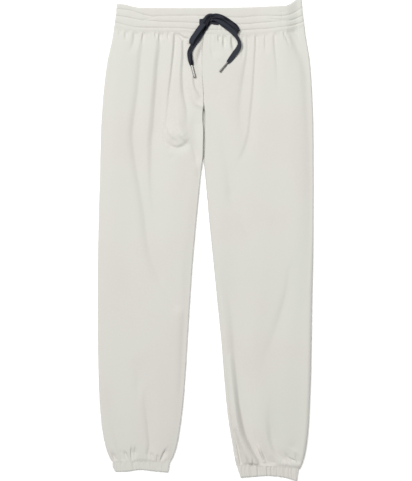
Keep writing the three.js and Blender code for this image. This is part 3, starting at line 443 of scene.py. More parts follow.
def front_height(x, y, leg):
    """Height of a front panel's face over what the pants lie on."""
    from_waist = np.maximum(0, waist_seam(x) - y)
    from_hem = np.maximum(0, y - leg.hem(x))
    from_side = np.abs(x - leg.side(y))
    from_inner = np.abs(x - leg.inner(y))
    lower = leg.edges["lower_share"] * smooth((LOFT_FROM - y) / LOWER_REACH)
    beside_crotch = smooth((y - CROTCH_FOOT) / 25) * smooth((CROTCH_HEAD - y) / 18)
    wanted = (
        BODY_RISE
        + mix(leg.edges["side_fall"], EDGE_LOFT, lower) * bell(from_side / SIDE_REACH)
        + leg.edges["inner_fall"] * bell(from_inner / INNER_REACH)
        + swell_height(x, y)
        + unevenness(x, y)
        + crease_height(x, y, leg.creases)
        + gather_height(x, from_waist, WAIST_GATHER)
        + right_end_stand(x) * np.exp(-from_waist / STAND_REACH)
        - WAIST_FALL * np.exp(-from_waist / WAIST_REACH)
        - HEM_FALL * np.exp(-from_hem / HEM_REACH)
        + leg.edges["crotch_loft"] * bell(from_inner / CROTCH_REACH) * beside_crotch
        + gather_height(x, from_hem, HEM_GATHER)
    )
    height = LOWEST_FRONT + np.logaddexp(0, wanted)
    # the cloth meets the waistband's face and the cuff's face at their seams
    at_band = BAND + GAP + waistband_face(x, waist_seam(x) + 0.05)
    height = mix(height, at_band, bell(from_waist / WAIST_TURN))
    return mix(height, HEM_FOOT, bell(from_hem / HEM_TURN))


# Meshes

def placed(name, data):
    obj = bpy.data.objects.new(name, data)
    scene.collection.objects.link(obj)
    return obj


def mesh_object(name, vertices, faces):
    mesh = bpy.data.meshes.new(name)
    mesh.from_pydata([tuple(v) for v in np.asarray(vertices) * MM], [], [tuple(f) for f in faces])
    mesh.validate()
    mesh.polygons.foreach_set("use_smooth", [True] * len(mesh.polygons))
    return placed(name, mesh)


def slab(name, over, under, stride=1):
    """A closed cloth body between two grids of points; the underside may take only every other point."""
    rows, columns = over.shape[:2]
    index = np.arange(rows * columns).reshape(rows, columns)
    kept = under[::stride, ::stride]
    below = np.arange(kept.shape[0] * kept.shape[1]).reshape(kept.shape[:2]) + rows * columns
    vertices = np.vstack([over.reshape(-1, 3), kept.reshape(-1, 3)])

    def quads(grid, flipped):
        a, b, c, d = grid[:-1, :-1], grid[1:, :-1], grid[1:, 1:], grid[:-1, 1:]
        corners = (a, d, c, b) if flipped else (a, b, c, d)
        return np.stack(corners, -1).reshape(-1, 4).tolist()

    faces = quads(index, False) + quads(below, True)
    for top, bottom, turned in (
        (index[:, 0], below[:, 0], True), (index[:, -1], below[:, -1], False),
        (index[0, :], below[0, :], False), (index[-1, :], below[-1, :], True),
    ):
        for k in range(len(bottom) - 1):
            span = list(top[k * stride:(k + 1) * stride + 1])
            face = span + [bottom[k + 1], bottom[k]]
            faces.append(face[::-1] if turned else face)
    obj = mesh_object(name, vertices, faces)
    rim = np.zeros(len(vertices), int)
    for grid, mark in ((index, 1), (below, 2)):
        for line in (grid[0, :], grid[-1, :], grid[:, 0], grid[:, -1]):
            rim[line] = mark
    crisp_edges(obj.data, rim)
    return obj


def crisp_edges(mesh, rim):
    """Marks the edges between two points of one rim, so that a cut edge doesn't shade the face beside it."""
    ends = np.zeros(2 * len(mesh.edges), int)
    mesh.edges.foreach_get("vertices", ends)
    first, second = rim[ends[0::2]], rim[ends[1::2]]
    crisp = mesh.attributes.new("sharp_edge", "BOOLEAN", "EDGE")
    crisp.data.foreach_set("value", (first == second) & (first > 0))


def places_across(flat_columns, edge_steps):
    """-1 to 0 round the left edge, 0 to 1 across the flat, 1 to 2 round the right edge."""
    edge = np.linspace(0, 1, edge_steps)
    return np.concatenate([edge - 1, np.arange(1, flat_columns) / flat_columns, 1 + edge])


def across_at(u, low, high, roll_low, roll_high):
    """For places u across a layer: x, the angle round its edge, and -1 or 1 at an edge and 0 on the flat."""
    u = u + 0 * low
    angle = np.where(u <= 0, u + 1, np.where(u >= 1, 2 - u, 1)) * math.pi / 2
    end = np.where(u <= 0, -1, np.where(u >= 1, 1, 0))
    flat = mix(low + roll_low, high - roll_high, clamp01(u))
    return flat + end * np.where(end < 0, roll_low, roll_high) * np.cos(angle), angle, end


def across_leg(u, leg, y, inner, side_roll, inner_roll):
    """Places across a leg, whose side seam is at its left or its right end."""
    if leg.side_end < 0:
        return across_at(u, leg.side(y), inner, side_roll, inner_roll)
    return across_at(u, inner, leg.side(y), inner_roll, side_roll)


def front_leg(leg):
    u = places_across(186, 7)[None, :]
    down = [np.linspace(0, 0.3, 161), np.linspace(0.3, 0.9, 151)[1:], np.linspace(0.9, 1, 71)[1:]]
    v = np.concatenate(down)[:, None]
    y = mix(440, -470, v) + 0 * u
    for _ in range(5):
        slit = mix(leg.edges["inner_roll"], CROTCH_ROLL, smooth((y - SLIT_FROM) / SLIT_REACH))
        inner_roll = mix(SEAM_ROLL, slit, open_below(y, FRONT_CROTCH))
        x, angle, end = across_leg(u, leg, y, leg.inner(y), leg.side_roll(y), inner_roll)
        y = mix(waist_seam(x) - SEWN, leg.hem(x) + SEWN, v)
    top = front_height(x, y, leg)
    open_ = open_below(y, FRONT_CROTCH)
    at_side = end == leg.side_end
    turned = np.where(at_side, 1, open_)
    dip = mix(*SEAM_DIPS, smooth((DIP_FROM - y) / DIP_REACH))
    on_back = mix(CLOTH + GAP, LEG_SEAM, open_below(y, BACK_CROTCH))
    edge = np.where(at_side, LEG_SEAM, mix(top - dip, on_back, open_))
    edge = np.where(end == 0, top, edge)
    under_edge = np.where(end == 0, top - CLOTH, edge - (1 - turned) * CLOTH)
    inward = -end * turned * CLOTH * np.cos(angle)
    over = points(x, y, mix(edge, top, np.sin(angle)))
    under = points(x + inward, y, mix(under_edge, top - CLOTH, np.sin(angle)))
    return slab(f"front_panel_{leg.name}", over, under, stride=2)


# Creases pressed up into the back panels, which the floor keeps flat in between: depths, width and routes
BACK_KINDS = [
    ((0.9, 0.7, 0), 12, [
        [(-140, 436), (-146, 330), (-150, 210)], [(-50, 436), (-46, 360), (-30, 250)],
        [(60, 430), (56, 350), (44, 250)],
    ]),
    ((0.9, 0.6, 0), 11, [
        [(-90, 436), (-96, 350), (-98, 280)], [(110, 430), (112, 350), (104, 280)],
        [(160, 436), (166, 350), (170, 260)],
    ]),
    ((0, 0.7, 0), 15, [[(-110, -20), (-90, -140), (-80, -230)]]),
    ((0, 0.8, 0), 15, [[(150, 0), (130, -110), (90, -200)]]),
    ((0, 0.8, 0.9), 12, [
        [(-160, -380), (-150, -440), (-146, -466)], [(-110, -390), (-108, -466)], [(160, -400), (158, -474)],
    ]),
    ((0, 0.9, 0.9), 12, [[(100, -380), (112, -440), (118, -470)]]),
]
BACK_CREASES = [(route, depths, width) for depths, width, routes in BACK_KINDS for route in routes]


def back_leg(leg):
    u = places_across(50, 6)[None, :]
    v = np.linspace(0, 1, 190)[:, None]
    y = mix(440, -470, v) + 0 * u
    for _ in range(5):
        x, angle, end = across_leg(u, leg, y, leg.back_inner(y), BACK_ROLL, BACK_ROLL)
        y = mix(waist_seam(x) - GAP / 2, leg.hem(x) + GAP / 2, v)
    turned = np.where(end == leg.side_end, 1, open_below(y, BACK_CROTCH))
    turned = np.where(end == 0, 0, turned)
    lip = LEG_SEAM - GAP
    round_ = 1 - np.sin(angle)
    lifted = np.maximum(0, -crease_height(x, y, BACK_CREASES)) * 0.45 * (1 - round_)
    inward = -end * turned * CLOTH * np.cos(angle)
    over = points(x + inward, y, mix(CLOTH - 0.6, mix(CLOTH, lip, turned), round_) + lifted)
    under = points(x, y, turned * lip * round_ + lifted)
    return slab(f"back_panel_{leg.name}", over, under)


def band(name, upper, lower, ends, thick, columns, shares, face):
    """One side of an elastic casing: its front if it has a face, else its back, which lies on the floor."""
    left, right = through(ends[0]), through(ends[1])
    roll = thick * 1.25
    u = places_across(columns, 6)[None, :]
    v = np.asarray(shares)[:, None]
    y = 0 * u + 0 * v + upper(0.0)
    for _ in range(6):
        x, angle, end = across_at(u, left(y), right(y), roll, roll)
        y = mix(upper(x), lower(x), v)
    round_ = np.sin(angle)
    inset = -end * np.cos(angle)
    if not face:
        over = points(x + inset * thick * 0.5, y, np.full_like(x, thick))
        under = points(x, y, thick * 0.8 * (1 - round_))
        return slab(name, over, under)
    bottom = thick + GAP
    over = points(x, y, mix(bottom + 0.6, bottom + face(x, y), round_))
    under = points(x + inset * thick * 0.5, y, np.full_like(x, bottom))
    return slab(name, over, under)


stitch_rows = [through(row) for row in STITCH_ROWS]


def shirring(x, y):
    """Fine upright puckers that the elastic draws between the stitched rows."""
    shift = 1.3 * np.sin(x / 9.7) + 0.8 * np.sin(x / 4.1 + y / 11)
    wave = np.sin(2 * math.pi * (x + shift) / 4.6 + 0.9 * np.sin(y / 5))
    return wave * (0.55 + 0.45 * np.sin(x / 23 + y / 17)) + 0.5 * np.sin(2 * math.pi * x / 8.7 + y / 9)


def right_end_stand(x):
    """The right end stands up, then falls away to where the side of the waist turns to the back."""
    return 5.4 * smooth((x - 106) / 58) - 7.6 * smooth((x - 166) / 28) + 0.7 * smooth((x - 192) / 9)


def waistband_face(x, y):
    """Height of the waistband's face over its own underside."""
    top, foot = waist_top(x), waist_seam(x)
    marks = [top] + [row(x) for row in stitch_rows] + [foot]
    puff = np.zeros_like(x)
    for upper, lower in zip(marks, marks[1:]):
        here = (y <= upper) & (y >= lower)
        within = (upper - y) / (upper - lower)
        swollen = clamp01(4 * within * (1 - within)) ** 0.5
        if lower is foot:
            swollen = smooth(within / 0.4) * (1 - 0.45 * smooth((within - 0.4) / 0.6))
        puff = np.where(here, swollen, puff)
    worn = 0.75 + 0.25 * np.sin(x / 17 + 1) * np.sin(x / 6.3)
    grooves = np.zeros_like(x)
    for k, row in enumerate(stitch_rows):
        uneven = 0.8 + 0.2 * np.sin(x / (11 + 3 * k) + k)
        grooves = grooves + uneven * np.exp(-((np.abs(y - row(x)) / GROOVE_WIDE) ** 1.5))
    folds = np.zeros_like(x)
    for route, depth, width in BAND_FOLDS:
        distance, along, _ = nearest(smooth_route(route, 6), x, y)
        strength = np.sqrt(clamp01(4 * along * (1 - along)))
        folds = folds + depth * strength * np.exp(-((distance / width) ** 1.5))
    top_round = np.sqrt(clamp01((top - y) / 3.2))
    foot_round = mix(0.97, 1, np.sqrt(clamp01((y - foot) / 2.5)))
    stand = right_end_stand(x) - 0.8 * smooth((-158 - x) / 26)
    body = BAND + ROW_PUFF * worn * puff - GROOVE * grooves - folds + 0.055 * shirring(x, y) + stand
    return mix(1.2, body, top_round) * foot_round


def cuff_face(upper, lower, main_puckers, pitch, drawn):
    """Height of a cuff's face over its own underside: puckers drawn up by the elastic in it."""

    def face(x, y):
        v = (upper(x) - y) / (upper(x) - lower(x))
        edges = mix(0.98, 1, np.sqrt(clamp01(v / 0.12))) * mix(0.4, 1, np.sqrt(clamp01((1 - v) / 0.12)))
        uneven = x + 1.6 * np.sin(x / 7) + 1.2 * np.sin(x / 3.1)
        height = 0.3 * (1 + np.cos(2 * math.pi * uneven / pitch + 0.8 * np.sin(4 * v)))
        height = height + 0.12 * np.sin(2 * math.pi * uneven / 3.7 + 2 * v)
        for at, width, depth in main_puckers:
            height = height - depth * bell((x - at - 1.5 * (v - 0.5)) / width)
        return edges * (CUFF + drawn * np.maximum(height, -1.3))

    return face


# Colours and materials

class Look:
    """A material with its shader, and short ways to add the nodes that feed it."""

    def __init__(self, name, base, roughness, specular, metallic=0, sheen=0):
        self.material = bpy.data.materials.new(name)
        self.material.use_nodes = True
        self.nodes, self.links = self.material.node_tree.nodes, self.material.node_tree.links
        self.shader = self.nodes["Principled BSDF"]
        self.feed(self.shader, {
            "Base Color": (*base, 1), "Roughness": roughness, "Specular IOR Level": specular,
            "Metallic": metallic, "Sheen Weight": sheen, "Sheen Roughness": 0.5,
        })

    def feed(self, node, inputs):
        """Sets inputs by name: another node's output is linked, anything else is a plain value."""
        for name, value in inputs.items():
            if isinstance(value, bpy.types.NodeSocket):
                self.links.new(value, node.inputs[name])
            else:
                node.inputs[name].default_value = value

    def add(self, kind, output, inputs):
        node = self.nodes.new(f"ShaderNode{kind}")
        self.feed(node, inputs)
        return node.outputs[output]

    def coordinates(self, kind, scale, turn=0):
        place = self.add("TexCoord", kind, {})
        return self.add("Mapping", "Vector", {"Scale": scale, "Rotation": (0, 0, turn), "Vector": place})

    def noise(self, vector, scale, detail, roughness=0.5):
        inputs = {"Scale": scale, "Detail": detail, "Roughness": roughness, "Vector": vector}
        return self.add("TexNoise", "Fac", inputs)

    def bands(self, vector, wide, distortion):
        """Stripes across x, of one width in the units of the vector."""
        inputs = {"Scale": 2 * math.pi / 20 / wide, "Distortion": distortion, "Detail": 2, "Vector": vector}
        return self.add("TexWave", "Fac", inputs)

    def calc(self, operation, a, b):
        node = self.nodes.new("ShaderNodeMath")
        node.operation = operation
        self.feed(node, {0: a, 1: b})
        return node.outputs[0]

    def mixed(self, *parts):
        """The sum of several outputs, each with its weight."""
        total = None
        for part, weight in parts:
            part = part if weight == 1 else self.calc("MULTIPLY", part, weight)
            total = part if total is None else self.calc("ADD", total, part)
        return total

    def bump(self, height, strength, distance):
        inputs = {"Strength": strength, "Distance": distance, "Height": height}
        self.feed(self.shader, {"Normal": self.add("Bump", "Normal", inputs)})

    def colour(self, factor, stops):
        """The base colour as a ramp over a factor."""
        node = self.nodes.new("ShaderNodeValToRGB")
        elements = node.color_ramp.elements
        while len(elements) < len(stops):
            elements.new(0.5)
        for element, (at, colour) in zip(elements, stops):
            element.position = at
            element.color = (*colour, 1)
        self.feed(node, {"Fac": factor})
        self.feed(self.shader, {"Base Color": node.outputs["Color"]})


IN_MM = (1000, 1000, 1000)


def jersey(name, base):
    """Fine single jersey: upright rows of stitches, a little fuzz, and slight mottling of the yarn."""
    look = Look(name, base, 0.95, 0.15)
    place = look.coordinates("Object", IN_MM)
    tone = look.mixed((look.noise(place, 0.22, 3), 0.3), (look.noise(place, 0.007, 2), 0.7))
    rosy = (base[0], base[1] * 0.98, base[2] * 0.985)
    leafy = (base[0] * 0.985, base[1] * 1.005, base[2] * 0.995)
    look.colour(tone, [(0.4, rosy), (0.5, base), (0.6, leafy)])
    wales = look.bands(place, 0.9, 1.2)
    fuzz = look.noise(place, 1.4, 4, 0.65)
    look.bump(look.mixed((wales, 0.5), (fuzz, 1)), 0.35, 0.00018)
    return look.material


PAINTED_FACE_SHIFT = 30  # how far the tape's paler face is set off across its UVs, in mm; the paler tone is painted light and the other face's darker tone is painted shade
SLANT = math.radians(38)
SELVEDGE = 4.3  # where the tape's firmer edge begins, from its middle


def woven_tape(name, base):
    """Flat woven cord: a fine slanting weave along the tape, seen in its own length and width."""
    look = Look(name, base, 0.9, 0.07, sheen=0.02)
    along = look.coordinates("UV", (1, 1, 1))
    warp, weft = (look.bands(look.coordinates("UV", (1, 1, 1), turn), 1.3, 0.4) for turn in (SLANT, -SLANT))
    weave = look.calc("MAXIMUM", warp, weft)
    fuzz = look.noise(along, 2.2, 4, 0.6)
    streaks = look.noise(look.coordinates("UV", (0.17, 0.03, 1)), 1, 3, 0.6)
    # The tape's two faces take two tones: the paler face is painted light and the darker face painted shade,
    # standing in for the light and shade on the bow's loops.
    x = look.add("SeparateXYZ", "X", {"Vector": along})
    back = look.calc("GREATER_THAN", x, PAINTED_FACE_SHIFT / 2)
    across = look.calc("SUBTRACT", x, look.calc("MULTIPLY", back, PAINTED_FACE_SHIFT))
    selvedge = look.calc("GREATER_THAN", look.calc("ABSOLUTE", across, 0), SELVEDGE)
    tone = look.mixed((weave, 0.3), (fuzz, 0.2), (streaks, 1.3), (selvedge, 0.18), (back, 0.38))
    look.colour(tone, [(0.88, tuple(c * 0.15 for c in base)), (1.5, tuple(c * 2.5 for c in base))])
    look.bump(look.mixed((weave, 1), (fuzz, 0.5)), 0.5, 0.00025)
    return look.material


def tip_metal(name):
    look = Look(name, (0.27, 0.26, 0.245), 0.44, 0.5, metallic=1)
    wear = look.noise(look.coordinates("Object", IN_MM), 0.8, 4)
    look.colour(wear, [(0.3, (0.23, 0.22, 0.205)), (0.7, (0.32, 0.31, 0.295))])
    return look.material


CLOTH_COLOUR = (0.725, 0.713, 0.663)
NAVY = (0.0168, 0.0179, 0.0232)

cloth_material = jersey("jersey", CLOTH_COLOUR)
casing_material = jersey("jersey_over_elastic", tuple(c * 0.99 for c in CLOTH_COLOUR))
thread_material = jersey("thread", tuple(min(1, c * 1.02) for c in CLOTH_COLOUR))
tape_material = woven_tape("navy_tape", NAVY)
metal_material = tip_metal("dark_metal")


# Camera: straight above, as the photo looks down on the pants
CAMERA_AT = (1, -3, 2385)
camera_data = bpy.data.cameras.new("camera")
camera_data.lens = 85
camera_data.sensor_width = 36
camera_data.clip_end = 100
camera = placed("camera", camera_data)
camera.location = tuple(c * MM for c in CAMERA_AT)
scene.camera = camera


# Drawstring

def face_height(x, y):
    """Height of the garment's face under the drawstring: the waistband, or a front panel below its seam."""
    x, y = np.asarray(x, float), np.asarray(y, float)
    v = (waist_top(x) - y) / (waist_top(x) - waist_seam(x))
    on_band = BAND + GAP + waistband_face(x, np.minimum(y, waist_top(x)))
    on_left = front_height(x, y, LEFT_LEG)
    on_right = front_height(x, y, RIGHT_LEG)
    return np.where(v <= 1, on_band, np.where(x < centre_front(y), on_left, on_right))


def face_under_tape(x, y, wide):
    """The highest face under a short piece of tape that lies across each point."""
    c, s = np.cos(wide), np.sin(wide)
    heights = [
        face_height(x + a * c - along * s, y + a * s + along * c)
        for a in TAPE_WIDTH * np.array([-0.5, -0.25, 0, 0.25, 0.5])
        for along in (-2, 0, 2)
    ]
    return np.max(heights, axis=0)


OVER_TAIL = 2.9
LOOP_OPEN = 4.4
LOOP_TOP = OVER_TAIL + LOOP_OPEN
LOOP_TURN = OVER_TAIL + LOOP_OPEN / 2
INTO_TIP = 1.3
# Columns: x, y, lift of the tape's underside off the cloth, direction of its width, roll, breadth share
LEFT_CORD = [
    (-12.6, 454.9, -1.6, 90, 0, 0.9), (-11.6, 455, 0, 90, 0, 1), (-7.6, 455.3, 0.6, 92, 0, 1),
    (-1, 456.4, 1.6, 100, 0, 0.9), (6, 458, 2.4, 112, 0, 0.8), (9.5, 460.2, 3.2, 130, 0, 0.75),
    (7, 460.4, 4.4, 146, 0, 0.8), (2, 456.4, 3.8, 146, 0, 0.85), (-2.9, 451.2, 3.3, 146, 0, 1),
    (-9, 441, OVER_TAIL, 146, 6, 1), (-15.6, 430.8, OVER_TAIL, 145, 8, 1),
    (-25, 416.8, OVER_TAIL, 148, 6, 0.9), (-28.4, 410.8, OVER_TAIL + 0.4, 154, 0, 0.84),
    (-29.8, 407.6, LOOP_TURN, 160, 0, 0.76), (-29.6, 410.8, LOOP_TOP - 0.4, 156, -6, 0.86),
    (-27.6, 416.6, LOOP_TOP, 149, -12, 0.97), (-17.2, 431.8, LOOP_TOP + 0.4, 144, -16, 1),
    (-10, 442, LOOP_TOP, 145, -10, 1), (-2.9, 451.2, LOOP_TOP - 0.6, 146, 0, 0.95),
    (3, 458, 6, 146, 0, 0.8), (8, 462, 5.4, 150, 0, 0.7),
    (10, 459.5, 3.9, 160, 0, 0.7), (8, 453.4, 2.2, 155, 0, 0.8), (3, 447.2, 0.8, 145, 0, 0.95),
    (-5, 436, 0.3, 147, 0, 1), (-14, 421, 0.3, 148, 0, 1), (-22.5, 409.5, 0.3, 143, 0, 1),
    (-29.6, 398.6, 0.3, 148, 8, 1), (-33, 388.5, 0.3, 164, 22, 1), (-32, 376.7, 0.3, 184, 26, 1),
    (-29.4, 366.6, 0.3, 192, 16, 0.85), (-28, 361, INTO_TIP, 194, 8, 0.45),
]
RIGHT_CORD = [
    (27.2, 453.8, -1.6, 90, 0, 0.9), (26.2, 453.8, 0, 90, 0, 1), (19.4, 454.4, 0.8, 88, 0, 1),
    (13, 456, 1.6, 80, 0, 0.9), (6, 458, 2.6, 74, 0, 0.8), (1.5, 461, 3.6, 70, 0, 0.75),
    (4, 461.6, 4.9, 72, 0, 0.75), (11, 462.6, 5.2, 74, 4, 0.85), (20.6, 461, OVER_TAIL + 1.4, 66, 8, 1),
    (29.6, 457.2, OVER_TAIL + 1, 58, 12, 1), (39.4, 451.2, OVER_TAIL + 0.8, 52, 14, 1),
    (50, 445.4, OVER_TAIL + 0.5, 49, 12, 1), (60, 437, OVER_TAIL, 48, 6, 0.9),
    (65.6, 433.4, OVER_TAIL + 0.4, 56, 0, 0.74), (68.6, 432.6, LOOP_TURN, 62, 0, 0.66),
    (67.6, 436, LOOP_TOP - 0.4, 54, 8, 0.76), (63.4, 442.6, LOOP_TOP, 48, 18, 0.94),
    (53.4, 450.6, LOOP_TOP + 0.2, 50, 30, 1), (42.8, 458.2, LOOP_TOP + 0.2, 55, 34, 1),
    (32.2, 463.6, LOOP_TOP, 62, 32, 1), (22, 466, LOOP_TOP - 0.4, 70, 22, 0.95),
    (12.8, 464.8, 6.6, 78, 6, 0.8), (5, 462, 5.6, 72, 0, 0.7), (4.5, 461.2, 4.4, 60, 0, 0.7),
    (12, 461.8, 3.6, 54, 0, 0.85), (21.8, 461.4, 3.1, 52, 0, 1), (30.6, 455, 1.8, 52, 0, 1),
    (38.4, 448.6, 0.6, 52, 0, 1), (53.3, 436.8, 0.3, 49, 14, 0.95), (64.4, 423.6, 0.3, 34, 40, 0.8),
    (70.6, 410.6, 0.3, 8, 46, 0.85), (69, 399.6, 0.3, -22, 24, 1), (60.4, 386.4, 0.3, -38, 6, 1.05),
    (52.4, 375.6, 0.3, -38, 0, 0.95), (47.6, 369.6, 0.9, -38, 0, 0.7), (45.6, 367.2, INTO_TIP, -40, 0, 0.4),
]


TAPE_SIDE = [
    (-1, -0.5), (-0.93, -1), (-0.8, -1), (-0.4, -0.86), (0, -0.84), (0.4, -0.86), (0.8, -1), (0.93, -1),
    (1, -0.5),
]


def tape_section(broad, thick):
    """The tape's section: flat, a little thicker at its woven edges, with rounded sides."""
    side = np.array(TAPE_SIDE)
    return np.vstack([side, -side]) * np.array([broad / 2, thick / 2])


def tube_faces(start, rings, n):
    """The faces of a closed tube, whose rings of n points follow each other from one vertex on."""
    faces = []
    for r in range(rings - 1):
        for k in range(n):
            a, b = start + r * n + k, start + r * n + (k + 1) % n
            faces.append((a, b, b + n, a + n))
    last = start + (rings - 1) * n
    return faces + [tuple(range(start, start + n))[::-1], tuple(range(last, last + n))]


def swept(name, stations, section_of, painted_faces=False):
    """A tube along stations of (place, across, up, broad, thick), with lengthwise UVs in mm."""
    rings = []
    for place, across, up, broad, thick in stations:
        ring = section_of(broad, thick)
        rings.append(place + ring[:, :1] * across + ring[:, 1:] * up)
    n = len(rings[0])
    obj = mesh_object(name, np.vstack(rings), tube_faces(0, len(rings), n))
    places = np.array([s[0] for s in stations])
    along = np.concatenate([[0], np.cumsum(np.linalg.norm(np.diff(places, axis=0), axis=1))])
    offsets = section_of(stations[len(stations) // 2][3], stations[0][4])[:, 0]
    # Half the section is shifted across the UVs so that it takes the tape's painted paler face; the other
    # half keeps the painted darker face.
    if painted_faces:
        offsets[:n // 2] += PAINTED_FACE_SHIFT
    layer = obj.data.uv_layers.new(name="tape")
    index = np.zeros(len(obj.data.loops), int)
    obj.data.loops.foreach_get("vertex_index", index)
    layer.data.foreach_set("uv", points(offsets[index % n], along[index // n]).ravel())
    return obj


def frames_along(places, wide):
    """Directions along a tape, across it and up from it, its width held near one direction in plan."""
    along = unit(np.gradient(places, axis=0))
    flat = points(np.cos(wide), np.sin(wide), 0 * wide)
    across = unit(flat - along * np.sum(flat * along, axis=1)[:, None])
    return along, across, np.cross(across, along)


def tape_stations(route, per_span):
    line = smooth_route(route, per_span)
    wide = np.radians(line[:, 3])
    roll = np.radians(line[:, 4])
    broad = line[:, 5]
    face = face_under_tape(line[:, 0], line[:, 1], wide)
    window = 2 * per_span + 1
    padded = np.pad(face, per_span, mode="edge")
    highest = np.array([padded[i:i + window].max() for i in range(len(face))])
    resting = np.convolve(np.pad(highest, per_span, mode="edge"), np.ones(window) / window, mode="valid")
    z = resting + line[:, 2] + TAPE_THICK / 2 + TAPE_WIDTH / 2 * np.abs(np.sin(roll)) * broad
    places = points(line[:, 0], line[:, 1], z)
    along, across, up = frames_along(places, wide)
    c, s = np.cos(roll)[:, None], np.sin(roll)[:, None]
    across, up = across * c + np.cross(along, across) * s, up * c + np.cross(along, up) * s
    return [(p, a, b, TAPE_WIDTH * w, TAPE_THICK) for p, a, b, w in zip(places, across, up, broad)]


OVERHEAD = np.array([0, 0, 1.0])
ON_EDGE = math.radians(55)  # how far the right tip leans


def aglet(name, stations, on_edge):
    """A dark metal tip: a flattened tube rolled from sheet, with two crimps near the tape."""
    place, across, up = stations[-1][:3]
    direction = place - stations[-4][0]
    direction[2] = 0
    direction /= np.linalg.norm(direction)
    wide = np.cross(OVERHEAD, direction)
    if np.dot(wide, across) < 0:
        wide = -wide
    far = place + direction * AGLET_LONG
    angle = [math.atan2(wide[1], wide[0])]
    ground = max(face_under_tape(at[:1], at[1:2], angle)[0] for at in (far, (far + place) / 2))
    far[2] = max(ground + GAP + (AGLET_WIDE if on_edge else AGLET_THICK) / 2, place[2] - 2)
    line = (far - place) / np.linalg.norm(far - place)
    up = np.cross(wide, line)
    profile = [
        (-2.5, 0.8), (-2.4, 0.96), (-1.6, 1.01), (0.5, 1.01), (2, 1), (3, 0.94), (4, 1), (6.2, 1),
        (12, 0.99), (18, 0.98), (AGLET_LONG - 2, 0.98), (AGLET_LONG - 1, 0.95), (AGLET_LONG - 0.3, 0.84),
        (AGLET_LONG, 0.66),
    ]

    def section(broad, thick):
        turn = np.linspace(0, 2 * math.pi, 32, endpoint=False)
        flat = np.sign(np.sin(turn)) * np.abs(np.sin(turn)) ** 0.55
        ring = points(np.cos(turn) * broad / 2, flat * thick / 2)
        fold = 1 + 0.05 * bell((turn - 1.9) / 0.12)
        return ring * fold[:, None]

    if on_edge:
        c, s = math.cos(ON_EDGE), math.sin(ON_EDGE)
        wide, up = wide * c - OVERHEAD * s, wide * s + OVERHEAD * c
    parts = [(place + line * at, wide, up, AGLET_WIDE * size, AGLET_THICK * size) for at, size in profile]
    return swept(name, parts, section)


def finished(piece, mat, slot, *nodes):
    piece.data.materials.append(mat)
    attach(piece, BODY)
    if nodes:
        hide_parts(*nodes)


for side, route in (("left", LEFT_CORD), ("right", RIGHT_CORD)):
    stations = tape_stations(route, 7)
    piece = swept(f"drawstring_{side}", stations, tape_section, painted_faces=True)
    tip = aglet(f"cord_tip_{side}", stations, side == "right")
    nodes = [f"cord_{part}_{side}" for part in ("stub", "loop", "tail")]
    finished(piece, tape_material, "drawstring", *nodes)
    finished(tip, metal_material, "metal_tips", f"aglet_{side}")

# The knot: the turn of tape that holds both loops, and the folds that show beside it
KNOT_WRAP = [
    (7.6, 466.4, 12), (7, 465.6, 15), (5.6, 463.4, 17.4), (3.6, 460.4, 18.8), (1.2, 455, 18.4),
    (-0.8, 449.6, 15.8), (-1.8, 446.4, 10.4), (-2, 445.8, 8.4),
]


def tape_between(name, route, wide_degrees, broad, thick):
    """Tape along a given route, without the cloth under it."""
    places = smooth_route(route, 8)
    _, across, up = frames_along(places, np.radians(np.linspace(*wide_degrees, len(places))))
    shares = np.interp(np.linspace(0, 1, len(places)), np.linspace(0, 1, len(broad)), broad)
    stations = [(p, a, b, TAPE_WIDTH * w, thick) for p, a, b, w in zip(places, across, up, shares)]
    return swept(name, stations, tape_section)


def joined(name, parts):
    bpy.ops.object.select_all(action="DESELECT")
    for part in parts:
        part.select_set(True)
    bpy.context.view_layer.objects.active = parts[0]
    bpy.ops.object.join()
    parts[0].name = name
    return parts[0]


wrap = tape_between("wrap", KNOT_WRAP, (-14, -24), [0.9, 1, 1.05, 1.05, 1.05, 1, 0.9], TAPE_THICK)
core = tape_between(
    "core",
    [(-3, 456, 10.5), (3, 459.5, 13.2), (9, 462.5, 13.8), (15, 463, 13), (19, 461, 11.6)],
    (100, 86), [0.9, 1.3, 1.5, 1.35, 1], 4.2,
)
knot = joined("drawstring_knot", [wrap, core])
finished(knot, tape_material, "drawstring", "cord_knot")


# The cloth

PANEL_FULLNESS = 1.03
CASING_FULLNESS = 1.22


def panel_cut(leg, back):
    """Width, length and area of one leg panel as cut, from the outline and the fullness of its creases."""
    y = np.linspace(435, -468, 400)
    inner = leg.back_inner(y) if back else leg.inner(y)
    breadth = np.abs(leg.side(y) - inner) * PANEL_FULLNESS
    area = float(np.sum((breadth[1:] + breadth[:-1]) / 2 * -np.diff(y)))
    return (float(breadth.max()) * MM, float(y[0] - y[-1]) * MM), area * MM * MM


def casing_cut(upper, lower, ends):
    """Width and length of a casing as cut: its drawn-in width let out, and its depth."""
    x = np.linspace(ends[0][1][1], ends[1][1][1], 60)
    depth = upper(x) - lower(x)
    return (float(x[-1] - x[0]) * CASING_FULLNESS * MM, float(depth.mean()) * MM)


for leg in (LEFT_LEG, RIGHT_LEG):
    for piece, node in ((back_leg(leg), f"back_leg_{leg.name}"), (front_leg(leg), f"front_leg_{leg.name}")):
        finished(piece, cloth_material, "jersey", node)
        flat, area = panel_cut(leg, piece.name.startswith("back"))

WAIST_SHARES = np.concatenate([np.linspace(0, 0.08, 9), np.linspace(0.08, 1, 62)[1:]])
for side, columns, shares, face in (
    ("back", 60, np.linspace(0, 1, 8), None), ("front", 380, WAIST_SHARES, waistband_face),
):
    piece = band(
        f"waistband_casing_{side}", waist_top, lambda x: waist_seam(x) + SEWN, WAIST_ENDS,
        BAND, columns, shares, face,
    )
    finished(piece, casing_material, "elastic_casing", f"waistband_{side}")
    casing_cut(waist_top, waist_seam, WAIST_ENDS)

